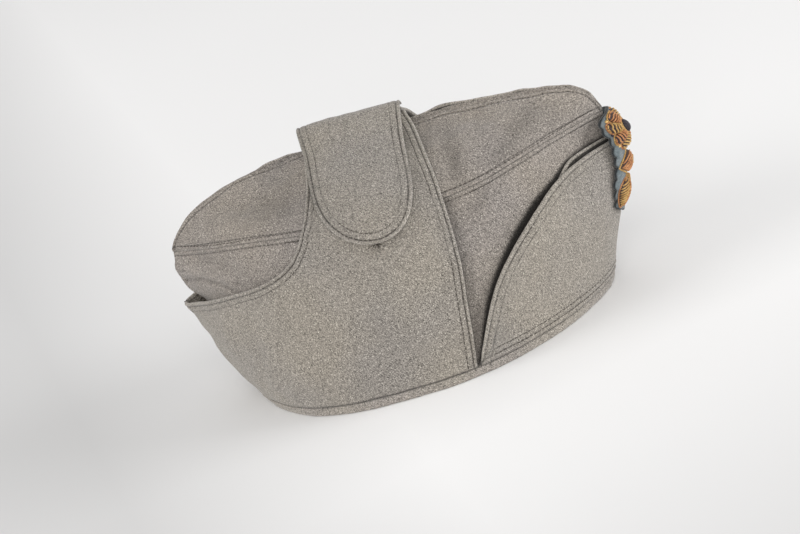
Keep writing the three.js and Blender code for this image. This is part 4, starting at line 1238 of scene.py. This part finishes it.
def badge_felt():
    """The scalloped felt, with its cut edge."""
    share = np.linspace(0, 1, 217)[:, None]
    across = -1 + graded(26, 34, NEAR_FOLD, NEAR_FOLD)[None, :] / 13
    from_point = np.minimum(1, np.abs(2 * np.abs(across) - 1))
    low = BADGE["bottom"] + BADGE["low_end"] * from_point
    z = low + (BADGE["top"] - BADGE["top_end"] * across**2 - low) * share
    scallop = SCALLOPS["depth"] * (1 - np.abs(np.sin(math.pi * SCALLOPS["count"] * share)))
    a = across * (smooth(BADGE_HALF, "half", z) - scallop)
    cloth = Cloth(badge_point(a, z, BADGE["thick"]), badge_point(a, z, 0.0))
    cloth.lift(ripple(cloth.middle, 7, 0.16, 111) + ripple(cloth.middle, 2.2, 0.07, 112), 0.8)
    cloth.lip[:] = 0.35
    # Painted shadow along the cut edge, where the felt stands off the cap.
    for edge in (np.s_[:, 0], np.s_[:, -1], np.s_[0, :], np.s_[-1, :]):
        cloth.wear_and_edge_shade = np.maximum(cloth.wear_and_edge_shade, hump(cloth.distance(cloth.path(edge))[0], 0.9))
    made = cloth.build("badge_backing_felt", FELT)
    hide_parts("badge_backing")


class Motif:
    """A pad of the badge: an oval, a leaf or a diamond, by its power and its fullness."""

    def __init__(self, centre, turn, half, high, base=ON_FELT, fullness=0.0, power=2.0):
        self.centre, self.half, self.high, self.base = np.array(centre, float), half, high, base
        self.ways = np.array([[math.cos(turn), math.sin(turn)], [-math.sin(turn), math.cos(turn)]])
        self.fullness, self.power = fullness, power

    def place(self, u, v, high):
        """From the motif's own length and width, and a height, to a point of the badge."""
        place = self.centre + u[..., None] * self.ways[0] + v[..., None] * self.ways[1]
        return badge_point(place[..., 0], place[..., 1], high)

    def share(self, u, v):
        """0 in the middle and 1 at the outline."""
        wide = self.half[1] * np.maximum(0.2, 1 - self.fullness * u / self.half[0])
        return (np.abs(u / self.half[0]) ** self.power + np.abs(v / wide) ** self.power) ** (1 / self.power)

    def outline(self, count, scale=1.0):
        angle = np.linspace(0, 2 * math.pi, count)
        long, wide = (np.sign(f) * np.abs(f) ** (2 / self.power) for f in (np.cos(angle), np.sin(angle)))
        return self.half[0] * long * scale, self.half[1] * (1 - self.fullness * long) * wide * scale

    def point(self, u, v, lift=0.0):
        """On the pad's surface, which is round at its rim and nearly flat in the middle."""
        share = np.clip(self.share(u, v), 0, 1)
        return self.place(u, v, self.base + self.high * (1 - share**2.4) ** 0.55 + lift)

    def pad(self, sides=72, rings=14, low=0.35):
        """The closed pad under the wires."""
        shares = [*np.sin(np.linspace(1, 0, rings) * math.pi / 2)[:-1], 0.02]
        u, v = (values[:-1] for values in self.outline(sides + 1))
        rows = [self.place(u * share, v * share, self.base - low) for share in (0.4, 0.9)]
        rows += [self.point(u * share, v * share, -low) for share in shares]
        here = np.arange(len(rows) * sides).reshape(len(rows), sides)
        after = np.roll(here, -1, 1)
        faces = np.stack([here[:-1], after[:-1], after[1:], here[1:]], -1).reshape(-1, 4)
        return np.vstack(rows), [*faces, here[0, ::-1], here[-1]], np.zeros(here.size)

    def wires(self, slope=0.35, pitch=WIRE["pitch"], radius=WIRE["radius"]):
        """Wire laid across the pad in chevrons that point along it."""
        reach = self.half[0] * (1 + abs(slope))
        arms = []
        for middle in np.arange(-reach + pitch / 2, reach, pitch):
            for hand in (-1, 1):
                v = hand * np.linspace(0, self.half[1] * 1.05, 60)
                u = middle - slope * np.abs(v)
                held = self.share(u, v) < 0.95
                if held.sum() > 6:
                    arms.append(self.point(*resampled(np.stack([u[held], v[held]], 1), 12).T))
        return wire(np.array(arms), radius)

    def border(self, scale=1.0, lift=0.0):
        """A pearled wire round the pad."""
        loop = self.point(*self.outline(400, scale), PEARL["radius"] * 0.8 + lift)
        loop = resampled(loop, max(40, int(lengths(loop)[-1] / 0.16)))
        return wire(loop[None], beaded(loop, PEARL["swell"], PEARL["pitch"]))


def beaded(line, swell, pitch):
    """The radius along a pearled wire."""
    return PEARL["radius"] * (1 + swell * np.cos(lengths(line) * 2 * math.pi / pitch))


def wire(lines, radii):
    """Round wire along lines, with the distance along it for its coil."""
    taper = np.ones(lines.shape[1])
    taper[[0, -1]] = 0.55
    coil = np.concatenate([np.repeat(lengths(line), WIRE_SIDES) for line in lines])
    return *tube_mesh(lines, radii * taper, WIRE_SIDES, outwards=(1, 0, 0)), coil


def embroidered(node, kind, parts):
    """One body of pads and wires. parts are (points, faces, coil) and the material of each."""
    faces, owner, start = [], [], 0
    materials = list(dict.fromkeys(material for _, material in parts))
    for (points, its_faces, _), material in parts:
        faces += [face + start for face in its_faces]
        owner += [materials.index(material)] * len(its_faces)
        start += len(points)
    made = mesh_object(f"{node}_{kind}", np.vstack([shape[0] for shape, _ in parts]), faces, materials)
    made.data.polygons.foreach_set("material_index", np.array(owner, np.int32))
    give(made, "coil", np.concatenate([shape[2] for shape, _ in parts]))
    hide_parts(node)


def badge_rosette():
    """Eight padded petals round a low pad, with small knots between their tips."""
    centre, (long, wide), step = ROSETTE["z"], ROSETTE["petal"], math.pi / ROSETTE["petals"]

    def at(reach, turn):
        return reach * math.cos(turn), centre + reach * math.sin(turn)

    parts = [(Motif((0, centre), 0, ROSETTE["under"], ROSETTE["dip"]).pad(), PAD)]
    for k in range(ROSETTE["petals"]):
        turn = 2 * math.pi * k / ROSETTE["petals"] + step
        place = at(ROSETTE["radius"] - long, turn)
        petal = Motif(place, turn, (long, wide), ROSETTE["high"], fullness=-0.3, power=2.2)
        metal, rim = (GOLD, COPPER) if k % 2 else (COPPER, GOLD)
        parts += [(petal.pad(48, 9), PAD), (petal.wires(), metal), (petal.border(lift=0.1), rim)]
        knot = Motif(at(ROSETTE["radius"] * 0.93, turn + step), 0, *ROSETTE["knot"])
        parts.append((knot.pad(16, 6, 0.1), PLUM if k % 2 else GOLD))
    embroidered("badge_rosette", "wires", parts)


def badge_boss():
    """The dark middle of the rosette: satin strands inside a pearled ring."""
    half, base = (BOSS["radius"], BOSS["radius"]), ON_FELT + ROSETTE["dip"]
    boss = Motif((0, ROSETTE["z"]), 0, half, BOSS["high"], base)
    parts = [(boss.pad(), PLUM), (boss.wires(0.0, 0.42, 0.24), PLUM), (boss.border(1.06), GOLD)]
    embroidered("badge_boss", "strands", parts)


def badge_lozenge():
    """A diamond of copper wire laid in chevrons."""
    centre = (0, LOZENGE["z"])
    lozenge = Motif(centre, math.pi / 2, LOZENGE["half"], LOZENGE["high"], power=1.15)
    parts = [(lozenge.pad(), PAD), (lozenge.wires(0.5), COPPER), (lozenge.border(), GOLD)]
    heart = Motif(centre, math.pi / 2, (1.9, 1.5), 1.0, ON_FELT + LOZENGE["high"] - 0.3)
    parts += [(heart.pad(24, 7, 0.1), PLUM), (heart.border(), GOLD)]
    embroidered("badge_lozenge", "wires", parts)


def badge_leaf(hand):
    """A leaf of gold wire with a raised rib, and the stalk that it grows from."""
    foot, tip = (np.array(LEAF[end], float) * [hand, 1] for end in ("foot", "tip"))
    run = tip - foot
    half = (np.linalg.norm(run) / 2, LEAF["half"])
    turn = math.atan2(run[1], run[0])
    leaf = Motif((foot + tip) / 2, turn, half, LEAF["high"], fullness=LEAF["fullness"], power=1.8)
    rib = leaf.point(np.linspace(-0.85, 0.9, 60) * half[0], np.zeros(60), 0.3)
    stalk = chordal_curve(np.array([[hand * 0.6, 57.2], [hand * 1.1, 56.6], foot + [0, 0.1]]), 30)
    stalk = badge_point(stalk[:, 0], stalk[:, 1], ON_FELT + 0.3)
    parts = [(leaf.pad(), PAD), (leaf.wires(-0.7, 1.42), GOLD), (leaf.border(), COPPER)]
    parts += [(wire(rib[None], beaded(rib, 0.25, 0.8)), COPPER), (wire(stalk[None], 0.4), GOLD)]
    embroidered(f"badge_leaf_{'left' if hand > 0 else 'right'}", "wires", parts)


badge_felt()
badge_rosette()
badge_boss()
badge_lozenge()
badge_leaf(-1)
badge_leaf(1)


# The stage, the light and the camera

bpy.ops.mesh.primitive_plane_add(size=8.0, location=(0, 0, 0))
floor = bpy.context.object
floor.name = "floor"
floor.data.materials.append(pale_floor("floor_paper"))

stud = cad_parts["tab_stud"].data.materials
stud.clear()
stud.append(STUD_METAL)


def soft_light(name, place, size, power, tint=(1, 1, 1), target=(0, 0, 0.06)):
    """A square soft box that faces the cap, or another target."""
    light = bpy.data.lights.new(name, "AREA")
    light.size, light.energy, light.color = size, power, tint
    made = linked(name, light)
    made.location = place
    made.rotation_euler = (Vector(target) - Vector(place)).to_track_quat("-Z", "Y").to_euler()


soft_light("front_light", (0.3, -2.4, 0.9), 1.6, 36, (1, 0.99, 0.975))
soft_light("left_light", (-2.2, -0.6, 0.9), 1.4, 28, (1, 0.985, 0.97))
soft_light("nose_light", (2.4, -0.2, 0.7), 1.4, 38, (0.985, 0.99, 1))
soft_light("top_light", (0.1, 0.5, 2.2), 1.8, 3.4)
soft_light("floor_light", (-0.3, 1.1, 1.2), 1.0, 2.2, target=(-0.2, 0.9, 0))

world = bpy.data.worlds.new("studio")
bpy.context.scene.world = world
world.use_nodes = True
sky = world.node_tree.nodes["Background"].inputs
sky[0].default_value = (1, 1, 1, 1)
sky[1].default_value = 0.493
bpy.context.scene.view_settings.view_transform = "Standard"


def photo_camera():
    """The camera of the photograph, with the cap's origin at the photograph's pixel for it."""
    azimuth, elevation, roll = (math.radians(VIEW[k]) for k in ("azimuth", "elevation", "roll"))
    level = math.cos(elevation)
    back = Vector((math.sin(azimuth) * level, -math.cos(azimuth) * level, math.sin(elevation)))
    right = Vector((math.cos(azimuth), math.sin(azimuth), 0))
    up = back.cross(right)
    image_right = math.cos(roll) * right - math.sin(roll) * up
    image_up = math.sin(roll) * right + math.cos(roll) * up
    off_x = (PHOTO["wide"] / 2 - PHOTO["origin"][0]) * PHOTO["mm_per_pixel"]
    off_y = -(PHOTO["high"] / 2 - PHOTO["origin"][1]) * PHOTO["mm_per_pixel"]
    forward = (-back * VIEW["distance"] + image_right * off_x + image_up * off_y).normalized()
    side = forward.cross(image_up).normalized()
    camera = bpy.data.cameras.new("camera")
    camera.sensor_width = SENSOR
    camera.lens = SENSOR * VIEW["distance"] / (PHOTO["mm_per_pixel"] * PHOTO["wide"])
    camera.clip_start, camera.clip_end = 0.05, 50
    made = linked("camera", camera)
    place = Vector(SHIFT / 1000) + back * VIEW["distance"] / 1000
    turn = Matrix((side, side.cross(forward), -forward)).transposed()
    made.matrix_world = Matrix.Translation(place) @ turn.to_4x4()
    bpy.context.scene.camera = made


photo_camera()
